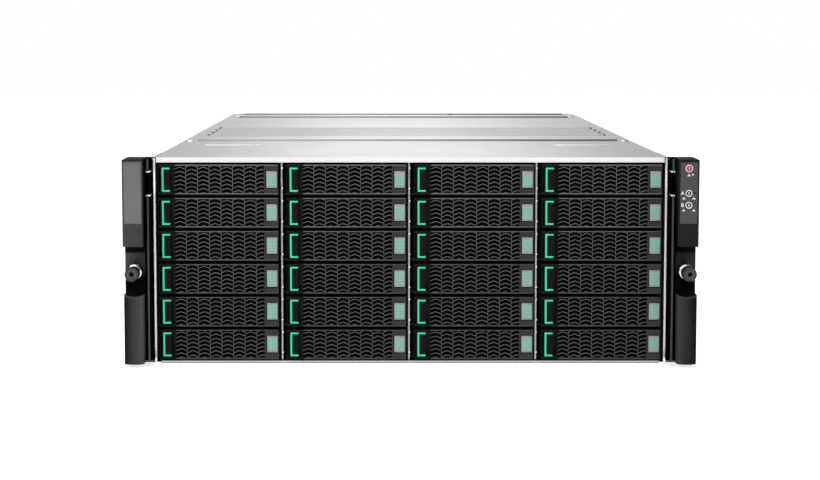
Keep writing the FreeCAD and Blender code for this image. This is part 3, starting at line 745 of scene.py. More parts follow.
class Finish(Nodes):
    """A material while its nodes are being laid."""

    def __init__(self, name, **constants):
        self.material = bpy.data.materials.new(name)
        self.material.use_nodes = True
        super().__init__(self.material.node_tree, "BSDF_PRINCIPLED")
        for socket, value in constants.items():
            self.set(socket.replace("_", " ").title().replace("Ior", "IOR"), value)

    def place(self):
        """Object coordinates."""
        return self.node("ShaderNodeTexCoord", {}, {}, "Object")

    def along(self, axis):
        """One object coordinate, by its letter."""
        return self.node("ShaderNodeSeparateXYZ", {}, {0: self.place()}, axis)

    def noise(self, scale, stretch=(1, 1, 1), detail=3.0):
        """Cloudy noise, which may be stretched."""
        vector = self.node("ShaderNodeMapping", {}, {"Vector": self.place(), "Scale": stretch})
        return self.node("ShaderNodeTexNoise", {}, {"Vector": vector, "Scale": scale, "Detail": detail})

    def cells(self, scale):
        """Random levels in small cells."""
        colour = self.node("ShaderNodeTexVoronoi", {}, {"Vector": self.place(), "Scale": scale}, "Color")
        return self.node("ShaderNodeSeparateColor", {}, {0: colour})

    def mix(self, factor, first, second):
        """Blend two colours."""
        first = (*first, 1) if isinstance(first, tuple) else first
        second = (*second, 1) if isinstance(second, tuple) else second
        return self.node("ShaderNodeMix", {"data_type": "RGBA"}, {0: factor, 6: first, 7: second}, 2)

    def varied(self, factor, colour, first, second):
        """Blend two shares of one colour."""
        return self.mix(factor, shaded(colour, first), shaded(colour, second))

    def bump(self, height, strength, distance):
        """Raise the surface by a value."""
        relief = {"Height": height, "Strength": strength, "Distance": distance}
        self.feed("Normal", self.node("ShaderNodeBump", {}, relief))


def shaded(colour, share):
    """A colour made darker or lighter."""
    return tuple(min(1.0, c * share) for c in colour)


def moulded(name, colour, roughness=0.45, depth=0.12, wear=0.25):
    """Moulded plastic with a fine spark-eroded grain and soft cloudy shine."""
    finish = Finish(name, specular_ior_level=0.35)
    clouds = finish.noise(24.0)
    grain = finish.noise(1400.0, detail=2.0)
    finish.feed("Base Color", finish.varied(clouds * wear + grain * wear, colour, 0.86, 1.22))
    finish.feed("Roughness", roughness - 0.06 + clouds * 0.12 + grain * 0.05)
    finish.bump(grain, depth, 0.0002)
    return finish.material


def rolled(finish, roughness=0.3, brush="X"):
    """Give bare steel its rolling lines and smudges, and return them as a tint."""
    stretch = {"X": (4, 260, 260), "Y": (260, 4, 260)}[brush]
    lines = finish.noise(1.0, stretch, detail=4.0)
    smudges = finish.noise(7.0)
    finish.feed("Roughness", roughness - 0.05 + 0.1 * smudges + 0.06 * lines)
    finish.bump(lines, 0.04, 0.0002)
    return 0.30 * lines + 0.35 * smudges


def sheet_steel(name, colour, roughness=0.3, brush="X"):
    """Bare sheet steel with rolling lines along one axis and faint smudges."""
    finish = Finish(name, metallic=1.0)
    tint = rolled(finish, roughness, brush) + 0.12 * finish.cells(160.0)
    finish.feed("Base Color", finish.varied(tint, colour, 1.08, 0.66))
    return finish.material


def lid_steel(name, colour, s):
    """Bare lid steel, darker to the sides and over the beads as painted shade, with a bright hem that grows
    lighter to the right as painted light, and dark painted shadow gaps round it.
    """
    finish = Finish(name, metallic=1.0)
    across = finish.along("X")
    aside = abs(across)
    back = finish.along("Y")
    # Painted shade: the steel darkens to the sides and over the beads.
    sides = aside.fade(0.03, 0.2)
    beads = back.within(FRONT + s.bead_shade_front, FRONT + s.bead_shade_rear)
    tint = rolled(finish) + 0.12 * finish.cells(160.0) + 0.55 * sides + 0.45 * beads
    steel = finish.varied(tint, colour, 1.08, 0.66)
    # The hem's ends and its lower part are painted shadow gaps, and the rest of the hem grows lighter to the
    # right as painted light.
    hem = back < FRONT + FRONT_SKIN
    ends = aside.within(TOP_HIGH.x - s.hem_shadow_inner, TOP_HIGH.x - s.hem_shadow_outer)
    gap = hem * (ends | (finish.along("Z") < LID_TOP - s.hem_shadow_drop))
    bright = finish.varied(across.fade(-0.22, 0.22), colour, 0.74, 0.94)
    finish.feed("Base Color", finish.mix(gap, finish.mix(hem, steel, bright), SHADOW))
    return finish.material


def tray_steel(name, colour, s):
    """Bare tray steel with bright front edges at its sides as a painted highlight, and a lower lip painted
    with a bright line, painted shade below it, a painted shadow gap above it and painted highlights at its
    ends.
    """
    finish = Finish(name, metallic=1.0)
    steel = finish.varied(rolled(finish), colour, 1.08, 0.66)
    aside = abs(finish.along("X"))
    up = finish.along("Z")
    # Painted highlight: near white on the front edges at the sides and on the lip's ends, with painted shade,
    # painted shadow and a bright line along the lip.
    bright = tone(252)
    lip = finish.mix(up < s.lip_shade, tone(230), shaded(colour, 0.22))
    lip = finish.mix(up > s.lip_shadow_gap, lip, SHADOW)
    corner = finish.mix(up < s.lip_corner_shadow, SHADOW, bright)
    lip = finish.mix(aside > CAGE_HIGH.x - s.lip_highlight_width, lip, corner)
    edge = finish.mix(aside > CAGE_HIGH.x, lip, bright)
    front = finish.along("Y") < FRONT + FRONT_SKIN
    finish.feed("Base Color", finish.mix(front, steel, edge))
    return finish.material


def printed(name, colour):
    """Matt ink with a slightly uneven film."""
    finish = Finish(name, roughness=0.5)
    finish.feed("Base Color", finish.varied(finish.noise(900.0), colour, 0.9, 1.06))
    return finish.material


def plated(name, colour, roughness=0.12):
    """Bright plated metal with faint haze."""
    finish = Finish(name, metallic=1.0)
    haze = finish.noise(60.0)
    finish.feed("Base Color", finish.varied(haze, colour, 0.92, 1.04))
    finish.feed("Roughness", roughness + 0.08 * haze)
    return finish.material


def lacquered(name, colour, roughness=0.38, foot=1.0):
    """Painted metal with a fine orange-peel surface, where foot is the share of its colour near the floor:
    painted shade that darkens it towards the floor.
    """
    finish = Finish(name, coat_weight=0.15, coat_roughness=0.3)
    clouds = finish.noise(30.0)
    paint = finish.varied(clouds, colour, 0.85, 1.15)
    # Painted shade: where foot is below one, the colour darkens towards the floor.
    if foot < 1:
        low = finish.varied(clouds, shaded(colour, foot), 0.85, 1.15)
        paint = finish.mix(finish.along("Z").fade(0.05, TOP_HIGH.z), low, paint)
    finish.feed("Base Color", paint)
    finish.feed("Roughness", roughness - 0.04 + 0.1 * clouds)
    finish.bump(finish.noise(700.0, detail=2.0), 0.1, 0.0001)
    return finish.material


def ear_black(name, colour, s):
    """Grained black plastic with painted light and shade: paler on the left ear, darker to the outer sides of
    the lower blocks, a painted highlight round the screw recess, a painted lit band on the recess floor, and
    a darker strip along the cover's top.
    """
    finish = Finish(name, specular_ior_level=0.05)
    clouds = finish.noise(24.0)
    grain = finish.noise(900.0, detail=2.0)
    aside = abs(finish.along("X"))
    up = finish.along("Z")
    # Painted light: the left ear is paler than the right, in the same plastic.
    left = finish.along("X") < 0
    upper = finish.mix(left, tuple(colour.right_ear), tuple(colour.left_ear))
    # Painted shade: the lower blocks darken to near black at their outer sides, the right one more.
    outward = (aside - (EARS_HIGH.x - s.width)) * (1 / s.width)
    side = finish.mix(left, shaded(colour.lower_ear, 0.6), tuple(colour.lower_ear))
    lower = finish.mix(outward, side, tone(4))
    # Painted highlight: a pale band along the edge of the screw recess.
    around = (aside - SCREW_X) * (aside - SCREW_X) + (up - SCREW_Z) * (up - SCREW_Z)
    lower = finish.mix(around < (s.scoop + s.scoop_highlight) ** 2, lower, tone(92))
    recess = finish.along("Y") > FRONT - s.reach + s.front_skin
    # Painted light and shade on the recess floor: a lit band above the screw, paler on the left ear, and dark
    # below and above it.
    glow_half, glow_top, glow_end = 0.006, 0.0140, 0.0165
    glow = up.fade(SCREW_Z - glow_half, SCREW_Z + glow_half)
    lit = glow * (1 - up.fade(SCREW_Z + glow_top, SCREW_Z + glow_end))
    floor = finish.mix(lit, tone(18), finish.mix(left, tone(92), tone(146)))
    upper = finish.mix(recess, upper, floor)
    upper = finish.mix(up > EARS_HIGH.z - s.top_edge, upper, tone(28))
    plastic = finish.mix(around > s.scoop**2, upper, finish.mix(up < SCREW_Z, upper, lower))
    finish.feed("Base Color", finish.mix(clouds * 0.3 + grain * 0.3, plastic, tone(6)))
    finish.feed("Roughness", 0.5 + clouds * 0.12 + grain * 0.05)
    finish.bump(grain, 0.2, 0.0002)
    return finish.material


def bracket_black(name, s):
    """Black coated sheet, grey along its front edge as a painted highlight."""
    finish = Finish(name, specular_ior_level=0.0)
    clouds = finish.noise(30.0)
    coat = finish.mix(clouds, tone(6), tone(14))
    # Painted highlight: grey along the front edge.
    edge = finish.along("Y") < FRONT - s.bracket_reach + s.edge_highlight
    finish.feed("Base Color", finish.mix(edge, coat, tone(84)))
    finish.feed("Roughness", 0.6 + 0.1 * clouds)
    return finish.material


def matt(name, colour):
    """Dull casting that hardly shines."""
    finish = Finish(name, specular_ior_level=0.1)
    clouds = finish.noise(40.0)
    finish.feed("Base Color", finish.varied(clouds, colour, 0.8, 1.2))
    finish.feed("Roughness", 0.75 + 0.1 * clouds)
    return finish.material


def module_steel(name, colour):
    """Faceplate steel with a black moulded handle beyond the faceplate."""
    finish = Finish(name)
    lines = finish.noise(1.0, (4, 4, 260), detail=4.0)
    smudges = finish.noise(9.0)
    face_skin = 0.0004
    handle = finish.along("Y") > REAR + face_skin
    steel = finish.varied(0.35 * lines + 0.4 * smudges, colour, 1.05, 0.7)
    finish.feed("Base Color", finish.mix(handle, steel, tone(36)))
    finish.feed("Metallic", 1 - handle)
    finish.feed("Roughness", 0.32 + 0.1 * smudges + 0.12 * handle)
    return finish.material


def cage_steel(name, colour):
    """Near-black guides with bare front edges and a green circuit board at their rear."""
    finish = Finish(name)
    board_depth, edge_skin, liner = 0.0032, 0.0005, 0.005
    back = finish.along("Y")
    board = back > CAGE_HIGH.y - board_depth
    edge = (back < CAGE_LOW.y + edge_skin) * (abs(finish.along("X")) < CAGE_HIGH.x - liner)
    smudges = finish.noise(20.0)
    zinc = finish.varied(0.5 * finish.cells(220.0) + 0.3 * smudges, colour, 1.05, 0.72)
    black = finish.mix(smudges, tone(14), tone(24))
    finish.feed("Base Color", finish.mix(board, finish.mix(edge, black, zinc), tone(24, 82, 52)))
    finish.feed("Metallic", edge)
    finish.feed("Roughness", 0.5 - 0.16 * edge + 0.14 * smudges)
    return finish.material


MADE = {}


def finish_of(name):
    """A finish by its name, made once."""
    colour = bpy.context.scene.array_colour
    chassis = bpy.context.scene.array_chassis
    ear = bpy.context.scene.array_ear
    makers = {
        "carrier_black": lambda n: moulded(n, tuple(colour.carrier), 0.42),
        "housing_black": lambda n: matt(n, tone(24)),
        "pocket_black": lambda n: moulded(n, tone(16), 0.55),
        # side_shade_black: the moulding's faces that turn away from the front, near black as painted shade.
        "side_shade_black": lambda n: matt(n, tone(5)),
        # The grille darkens towards the floor as painted shade.
        "grille_grey": lambda n: lacquered(n, tuple(colour.grille), 0.36, foot=0.68),
        # Grey rims as a painted highlight along the fronts' edges, darker towards the floor as painted shade.
        "rim_highlight_grey": lambda n: lacquered(n, tone(98), 0.5, foot=0.15),
        "latch_green": lambda n: moulded(n, tuple(colour.latch), 0.36, depth=0.05, wear=0.15),
        "pad_black": lambda n: matt(n, tone(22)),
        "window_grey": lambda n: printed(n, tuple(colour.window)),
        "window_bars": lambda n: printed(n, tuple(colour.bars)),
        # Near black as painted shade behind the grille, on the drive and the air duct.
        "drive_metal": lambda n: matt(n, tone(20)),
        "rail_steel": lambda n: sheet_steel(n, tone(205), 0.33, "Y"),
        "plug_black": lambda n: moulded(n, tone(20), 0.5),
        "tray_steel": lambda n: tray_steel(n, tone(206), chassis),
        "lid_steel": lambda n: lid_steel(n, tuple(colour.steel), chassis),
        "cage_steel": lambda n: cage_steel(n, tone(172)),
        "module_steel": lambda n: module_steel(n, tone(208)),
        "ear_black": lambda n: ear_black(n, colour, ear),
        "bracket_black": lambda n: bracket_black(n, ear),
        "bare_edge": lambda n: plated(n, tone(235), 0.2),
        # The left plate is paler than the right as painted light; both are the same lacquer.
        "left_plate": lambda n: lacquered(n, tuple(colour.left_plate), 0.42),
        "right_plate": lambda n: lacquered(n, tuple(colour.right_plate), 0.42),
        "ferrule_chrome": lambda n: plated(n, tone(196), 0.16),
        "knob_black": lambda n: lacquered(n, tone(56), 0.45),
        # The knob's side is darker than its front as painted shade.
        "knurl_shade_black": lambda n: lacquered(n, tone(14), 0.45),
        "ink_white": lambda n: printed(n, tone(245)),
        "ink_pink": lambda n: printed(n, tone(244, 196, 210)),
        "lamp_red": lambda n: lacquered(n, tone(176, 34, 84), 0.25),
        "button_black": lambda n: moulded(n, tone(26), 0.4),
        "screw_dark": lambda n: plated(n, tone(96), 0.3),
        # The lid's folds are darker steel as painted shade; fold_dark is also the vent screens' steel.
        "fold_steel": lambda n: sheet_steel(n, tone(142), 0.3),
        "fold_dark": lambda n: sheet_steel(n, tone(120), 0.35),
        # Near white as a painted highlight on the lid's creases, the dividers' teeth and the notch's lips.
        "crease_steel": lambda n: plated(n, tone(252), 0.45),
        "nickel": lambda n: plated(n, tone(215), 0.22),
        "lamp_green": lambda n: lacquered(n, tone(70, 200, 90), 0.2),
    }
    if name not in MADE:
        MADE[name] = makers[name](name)
    return MADE[name]


def dress(node, finish):
    """Give a CAD node that stays in sight a finish."""
    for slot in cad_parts[node].material_slots:
        slot.material = finish_of(finish)


# Drive carriers
def chevron_sheet(s):
    """Sheet pierced by columns of chevron slots, every other column half a row off."""
    left = CARRIER_LOW.x + s.grille_left - s.slot_web
    right = CARRIER_LOW.x + s.grille_right + s.slot_web
    middle = (CARRIER_LOW.z + CARRIER_HIGH.z) / 2
    front = FACE + s.grille_setback
    first = CARRIER_LOW.x + s.first_slot
    columns = math.ceil((right - first) / s.slot_pitch + 0.5)
    rows = int((CARRIER_HIGH.z - CARRIER_LOW.z) / s.row_pitch)
    squeeze = s.slot_web / s.slot_rib
    shape = bmesh.new()
    for column in range(-1, columns):
        x = first + column * s.slot_pitch
        steps = rows + 1 + column % 2
        place = facing_front(x, front, 0, s.slot_pitch, steps * s.row_pitch * squeeze)
        grid = bmesh.ops.create_grid(shape, x_segments=2, y_segments=steps, size=0.5, matrix=place)
        faces = {f for v in grid["verts"] for f in v.link_faces}
        ordered = sorted(faces, key=lambda f: f.calc_center_median().z)
        for pair in zip(ordered[0::2], ordered[1::2]):
            bmesh.ops.inset_region(
                shape, faces=pair, thickness=s.slot_web / 2, use_even_offset=True, use_boundary=True
            )
            bmesh.ops.delete(shape, geom=pair, context="FACES")
    for vert in shape.verts:
        column = round((vert.co.x - first) / s.slot_pitch)
        aside = abs(vert.co.x - first - column * s.slot_pitch) / (s.slot_pitch / 2)
        vert.co.z = middle + vert.co.z / squeeze - s.slot_rise * aside
    trim(shape, 0, left, right)
    trim(shape, 2, CARRIER_LOW.z + s.grille_rail / 2, CARRIER_HIGH.z - s.grille_rail / 2)
    thicken(shape, (0, s.grille_sheet, 0))

    def slot_edge(edge):
        joint = (edge.verts[0].co.x - first) / s.slot_pitch + 0.5
        level = abs(edge.verts[0].co.x - edge.verts[1].co.x) > NEAR
        return on_plane(edge, 1, front) and (level or abs(joint - round(joint)) > 0.01)

    return soften(shape, s.slot_bevel, 1, slot_edge)


def window_bars(left, bottom, s):
    """Plain bars on a window plate, in short rows, each split at another place."""
    front, thickness = FACE + 0.0003, 0.0002
    rows = 4
    pitch = s.window_height / (rows + 1)
    half = 0.36 * pitch
    bars = []
    for row in range(rows):
        z = bottom + (row + 1) * pitch
        split = 0.46 + 0.1 * ((row * 2) % 3)
        for low, high in ((0.12, split), (split + 0.08, 0.9)):
            x0, x1 = left + low * s.window_width, left + high * s.window_width
            bars.append(block((x0, front, z - half), (x1, front + thickness, z + half)))
    return bars


def add_front(piece, s):
    """Add a carrier's moulded front with its latch housing, rims, grille and window plate."""
    x0, z0, z1 = CARRIER_LOW.x, CARRIER_LOW.z, CARRIER_HIGH.z
    end = CARRIER_HIGH.x - s.frame_short
    back = FACE + s.frame_depth
    plate_left = x0 + s.window_left
    plate_right = plate_left + s.window_width
    plate_low = (z0 + z1 - s.window_height) / 2 + s.window_raise
    plate_high = plate_low + s.window_height
    gap = s.window_gap
    pocket = (x0 + s.latch_side, x0 + s.latch_zone, z0 + s.latch_strap, z1 - s.latch_strap)
    opening = (x0 + s.grille_left, x0 + s.grille_right, z0 + s.grille_rail, z1 - s.grille_rail)
    window = (plate_left - gap, plate_right + gap, plate_low - gap, plate_high + gap)
    housing = pierced_sheet(x0, opening[0], z0, z1, FACE, back, [pocket])
    front = pierced_sheet(opening[0], end, z0, z1, FACE, back, [opening, window])
    for sheet, finish in ((housing, "housing_black"), (front, "carrier_black")):
        soften(sheet, s.frame_edge, 2, lambda e: on_plane(e, 1, FACE))
        # Faces that turn away from the front are near black as painted shade.
        piece.add(sheet, finish, "side_shade_black")
    rim_left, rim_right = opening[0] + s.frame_edge, end - s.frame_edge
    # The grey rims are a painted highlight along the front's upper and lower edge.
    for low in (z0 + s.lower_rim, z1 - s.upper_rim - s.rim_height):
        rim = block(
            (rim_left, FACE - s.rim_proud, low), (rim_right, FACE + s.frame_edge, low + s.rim_height)
        )
        piece.add(soften(rim, s.rim_proud, 2), "rim_highlight_grey")
    for hole, floor in ((pocket, back - s.pocket_floor), (window, FACE + s.window_recess)):
        piece.add(block((hole[0], floor, hole[2]), (hole[1], back, hole[3])), "pocket_black")
    piece.add(chevron_sheet(s), "grille_grey")
    plate_front = FACE + s.plate_setback
    plate_rear = plate_front + s.plate_sheet
    plate = block((plate_left, plate_front, plate_low), (plate_right, plate_rear, plate_high))
    piece.add(soften(plate, s.plate_edge, 2, lambda e: on_plane(e, 1, plate_front)), "window_grey")
    for bar in window_bars(plate_left, plate_low, s):
        piece.add(bar, "window_bars")


def add_sled(piece, s):
    """Add a carrier's two rails, the tie behind its latch and the air duct."""
    x0, x1 = CARRIER_LOW.x, CARRIER_HIGH.x
    z0, z1 = CARRIER_LOW.z, CARRIER_HIGH.z
    back = FACE + s.frame_depth
    rail_rear = FACE + s.drive_front + s.drive_length + s.rail_past_drive
    for left in (x0, x1 - s.rail):
        rail = block((left, back, z0), (left + s.rail, rail_rear, z1))
        piece.add(soften(rail, s.rail_edge, 1), "pocket_black", "rail_steel")
    tie_gap, tie_sheet = 0.0006, 0.001
    tie = block((x0 + s.rail, back, z0 + tie_gap), (x0 + s.latch_zone, back + tie_sheet, z1 - tie_gap))
    piece.add(tie, "rail_steel")
    # The duct is near black as painted shade behind the grille.
    duct_rear = FACE + s.drive_front + s.drive_edge
    for low in (z0, z1 - s.duct_sheet):
        duct = block((x0 + s.rail, back, low), (x1 - s.rail, duct_rear, low + s.duct_sheet))
        piece.add(duct, "drive_metal")


def add_drive(piece, s):
    """Add a carrier's disk drive with its cover and its plug."""
    x0, x1 = CARRIER_LOW.x, CARRIER_HIGH.x
    bottom, top = CARRIER_LOW.z + s.drive_gap, CARRIER_HIGH.z - s.drive_gap
    nose = FACE + s.drive_front
    tail = nose + s.drive_length
    body = block((x0 + s.drive_side, nose, bottom), (x1 - s.drive_side, tail, top - s.cover_proud))
    piece.add(soften(body, s.drive_edge, 3), "drive_metal")
    side, end, sunk = s.cover_side, s.cover_end, s.cover_proud + s.cover_sunk
    cover = block((x0 + side, nose + end, top - sunk), (x1 - side, tail - end, top))
    piece.add(soften(cover, s.trim_edge, 2), "drive_metal")
    middle = (x0 + x1) / 2
    plug = block(
        (middle - s.plug_half, tail, bottom),
        (middle + s.plug_half, tail + s.plug_length, bottom + s.plug_height),
    )
    piece.add(soften(plug, s.trim_edge, 1), "plug_black")


def carrier_mesh(s):
    """The first carrier: moulded front, sled and drive."""
    piece = Piece()
    add_front(piece, s)
    add_sled(piece, s)
    add_drive(piece, s)
    return piece.mesh("carrier")


def latch_mesh(s):
    """The first latch: green handle, finger pad and hinge pin."""
    x0 = CARRIER_LOW.x + s.left
    x1 = x0 + s.width
    low = LATCH_LOW.z + s.pin_bite
    high = LATCH_HIGH.z - s.pin_bite
    depth = LATCH_HIGH.y - LATCH_LOW.y
    outline = [
        (x0, low),
        (x1, low),
        (x1, low + s.flange),
        (x0 + s.bar, low + s.flange),
        (x0 + s.bar, high - s.flange),
        (x1, high - s.flange),
        (x1, high),
        (x0, high),
    ]
    piece = Piece()
    handle = prism([(x, FACE, z) for x, z in outline], (0, depth, 0))
    piece.add(soften(handle, s.edge, 2), "latch_green")
    pad_front = FACE + s.pad_setback
    pad = block(
        (x0 + s.bar, pad_front, low + s.flange), (x1, pad_front + s.pad_depth, high - s.flange)
    )
    soften(pad, s.pad_curve, 3, lambda e: on_plane(e, 1, pad_front) and on_plane(e, 0, x0 + s.bar))
    piece.add(soften(pad, s.pad_edge, 2, lambda e: on_plane(e, 0, x1)), "pad_black")
    hinge_x = CARRIER_LOW.x + s.hinge_from_side
    hinge_y = FACE + s.hinge_from_front
    web = block((hinge_x, hinge_y - s.web_half, low), (x0 + s.edge, hinge_y + s.web_half, high))
    piece.add(soften(web, s.web_edge, 1), "pad_black")
    height = LATCH_HIGH.z - LATCH_LOW.z
    pin = turned([(0, 0), (s.pin_radius, 0), (s.pin_radius, height), (0, height)], 0, 0, 16)
    piece.add(moved(pin, facing_front(hinge_x, hinge_y, LATCH_LOW.z)), "pad_black")
    return piece.mesh("latch")


def repeat(mesh, kind):
    """Copies of the first carrier's or latch's mesh, one in each bay."""
    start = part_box(kind + "_" + FIRST)[0]
    for tag in TAGS:
        name = f"{kind}_{tag}"
        copy = mesh.copy()
        copy.name = name + "_looks"
        copy.transform(Matrix.Translation(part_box(name)[0] - start))
        show(name + "_looks", copy, name, [name])
    bpy.data.meshes.remove(mesh)


class ARRAY_OT_carriers(bpy.types.Operator):
    """Build the drive carriers with their chevron grilles"""

    bl_idname = "array.carriers"
    bl_label = "Drive Carriers"

    def execute(self, context):
        repeat(carrier_mesh(context.scene.array_carrier), "carrier")
        return {"FINISHED"}


class ARRAY_OT_latches(bpy.types.Operator):
    """Build the green release latches"""

    bl_idname = "array.latches"
    bl_label = "Release Latches"

    def execute(self, context):
        repeat(latch_mesh(context.scene.array_latch), "latch")
        return {"FINISHED"}


# Chassis
def rivet(x, y, s):
    """Low round head on the lid."""
    radius, height = s.rivet_radius, s.fold_height
    profile = [(0, -height), (radius * 0.6, -height), (radius, -height * 0.4), (radius, 0), (0, 0)]
    stand = Matrix.Translation((x, y, LID_TOP)) @ Matrix.Rotation(-math.pi / 2, 4, "X")
    return moved(turned(profile, 0, 0, 20), stand)


def lid_strip(middle, half, y, depth, height):
    """Low folded strip across the lid, with its ends half its length from its middle."""
    sunk = 0.0002
    strip = block((middle - half, y, LID_TOP - sunk), (middle + half, y + depth, LID_TOP + height))
    return soften(strip, height * 0.35, 2)


class ARRAY_OT_chassis(bpy.types.Operator):
    """Finish the tray, the cage and the top panels"""

    bl_idname = "array.chassis"
    bl_label = "Chassis"

    def execute(self, context):
        dress("chassis_tray", "tray_steel")
        dress("drive_cage", "cage_steel")
        dress("top_panels", "lid_steel")
        return {"FINISHED"}


class ARRAY_OT_lid(bpy.types.Operator):
    """Build the folds, rivets and tabs of the lid"""

    bl_idname = "array.lid"
    bl_label = "Lid Details"

    def execute(self, context):
        s = context.scene.array_chassis
        roof_end = FRONT + s.roof_depth
        last = REAR - s.rear_fold
        rear = last - s.rear_fold_pitch
        folds = Piece()
        folds.add(lid_strip(0, s.fold_half, roof_end, s.fold_depth, s.fold_height), "fold_steel")
        for y in (rear, last):
            start = y - s.rear_fold_lead
            folds.add(lid_strip(0, s.rear_fold_half, start, s.fold_depth, s.rear_fold_height), "fold_dark")
        for side in (-1, 1):
            for i in range(s.bead_count):
                y = FRONT + s.last_bead - i * s.bead_pitch
                folds.add(rivet(side * s.rivet_half, y, s), "screw_dark")
            x, start = side * s.tab_half, roof_end - s.tab_lead
            folds.add(lid_strip(x, s.tab_reach, start, s.tab_depth, s.tab_height), "bare_edge")
            x = side * (s.rear_fold_half + s.tab_reach)
            folds.add(lid_strip(x, s.tab_reach, rear, s.rear_tab_depth, s.tab_height), "bare_edge")
            start = roof_end - s.crease_lead
            crease = lid_strip(
                side * s.crease_place, s.crease_half, start, s.crease_depth, s.crease_height
            )
            # The near-white creases are a painted highlight.
            folds.add(crease, "crease_steel")
        start = last - s.notch_lead
        notch = lid_strip(s.notch_place, s.notch_half, start, s.notch_depth, s.notch_height)
        folds.add(notch, "fold_steel")
        folds.show("lid_folds", "chassis", "bare_steel")
        return {"FINISHED"}


class ARRAY_OT_dividers(bpy.types.Operator):
    """Build the bright teeth on the dividers' front edges"""

    bl_idname = "array.dividers"
    bl_label = "Divider Teeth"

    def execute(self, context):
        s = context.scene.array_chassis
        half = s.tooth_height / 2
        front, rear = CAGE_LOW.y - s.tooth_proud, CAGE_LOW.y + s.tooth_sunk
        teeth = Piece()
        for column in range(1, COLUMNS):
            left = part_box(f"carrier_r1_c{column}")[1].x + s.tooth_gap
            for row in range(ROWS):
                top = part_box(f"carrier_r{row + 1}_c{column}")[1].z
                for drop in (s.tooth_high, s.tooth_low):
                    z = top - drop
                    tooth = block((left, front, z - half), (left + s.tooth_width, rear, z + half))
                    # The teeth are near white as a painted highlight.
                    teeth.add(soften(tooth, s.tooth_edge, 2), "crease_steel")
        teeth.show("divider_teeth", "chassis", "cage_steel")
        return {"FINISHED"}


# Rack ears
def ear_cover(s):
    """Moulded cover of the right ear: two blocks with a scooped screw recess between them."""
    outer = EARS_HIGH.x
    inner = outer - s.width
    low, top = EARS_LOW.z, EARS_HIGH.z
    front, floor = FRONT - s.reach, FRONT - s.recess
    scoop_low = SCREW_Z - s.scoop
    scoop_high = SCREW_Z + s.recess_above
    shape = block((inner, floor, low), (outer, FRONT + s.back, top))
    slice_at(shape, 2, scoop_low)
    slice_at(shape, 2, scoop_high)
    for face in [f for f in shape.faces if f.normal.y < -FRONT_FACING]:
        if not scoop_low < face.calc_center_median().z < scoop_high:
            pull(shape, [face], (0, front - floor, 0))
    shape.normal_update()
    across = [e for e in shape.edges if on_plane(e, 2, scoop_low) or on_plane(e, 2, low)]
    across = [e for e in across if on_plane(e, 1, front) or on_plane(e, 1, floor)]
    bmesh.ops.subdivide_edges(shape, edges=across, cuts=9, use_grid_fill=True)
    middle = (inner + outer) / 2
    for vert in shape.verts:
        if vert.co.y > floor + NEAR or vert.co.z > scoop_low + NEAR:
            continue
        if abs(vert.co.z - scoop_low) < NEAR:
            vert.co.z = SCREW_Z - math.sqrt(s.scoop**2 - (vert.co.x - SCREW_X) ** 2)
        if abs(vert.co.y - front) < NEAR:
            vert.co.y += s.bulge * ((vert.co.x - middle) / (s.width / 2)) ** 2
    side_y = front + s.bulge

    def upright(edge):
        a, b = (v.co for v in edge.verts)
        return abs(a.x - b.x) < NEAR and on_plane(edge, 1, side_y) and max(a.z, b.z) < SCREW_Z

    soften(shape, s.rounding, 6, upright)
    shape.normal_update()
    soften(shape, s.edge, 2, lambda e: e.calc_face_angle() > CORNER_ANGLE)
    bmesh.ops.recalc_face_normals(shape, faces=shape.faces[:])
    return shape


def ear_bracket(s):
    """Folded sheets of the right ear's bracket, and the lips of its notch."""
    low, top = EARS_LOW.z, EARS_HIGH.z
    outer = EARS_HIGH.x
    side = TOP_HIGH.x
    sheet = s.bracket_sheet
    flange_front = FRONT + s.back
    flange_rear = flange_front + s.flange_sheet
    half = s.flange_hole / 2
    hole = (SCREW_X - half, SCREW_X + half, SCREW_Z - half, SCREW_Z + half)
    flange = pierced_sheet(side, outer, low, top, flange_front, flange_rear, [hole])
    leg = block((side, flange_rear, low), (side + sheet, EARS_HIGH.y, top))
    wing_x = CHASSIS_HIGH.x + s.bracket_standoff - sheet
    reach = FRONT - s.bracket_reach
    sole = low + s.bracket_raise
    notch_top = top - s.notch_top
    notch_low = notch_top - s.notch_height
    notch_rear = reach + s.notch_depth
    outline = [
        (flange_front, sole),
        (reach, sole),
        (reach, notch_low),
        (notch_rear, notch_low),
        (notch_rear, notch_top),
        (reach, notch_top),
        (reach, top),
        (flange_front, top),
    ]
    wing = prism([(wing_x, y, z) for y, z in outline], (sheet, 0, 0))
    foot = block((wing_x, reach, sole), (outer - s.width, flange_front, sole + sheet))
    fold_inner, fold_outer = CHASSIS_HIGH.x - s.fold_cover, wing_x + s.fold_lap
    fold_rear = FRONT - s.fold_gap
    fold = block((fold_inner, fold_rear - s.fold_sheet, low), (fold_outer, fold_rear, top - s.fold_drop))
    toe = prism(
        [
            (fold_inner, fold_rear, sole),
            (CHASSIS_HIGH.x - s.toe_cover, reach, sole),
            (fold_outer, reach, sole),
            (fold_outer, fold_rear, sole),
        ],
        (0, 0, sheet),
    )
    lip_inner, lip_outer = wing_x - s.lip_inward, wing_x + sheet + s.lip_outward
    lips = []
    for z in (notch_low - s.lip_below, notch_top + s.lip_above):
        lips.append(block((lip_inner, reach, z), (lip_outer, notch_rear, z + s.lip_sheet)))
    return [soften(shape, s.sheet_edge, 1) for shape in (flange, leg, wing, foot, fold, toe)], lips


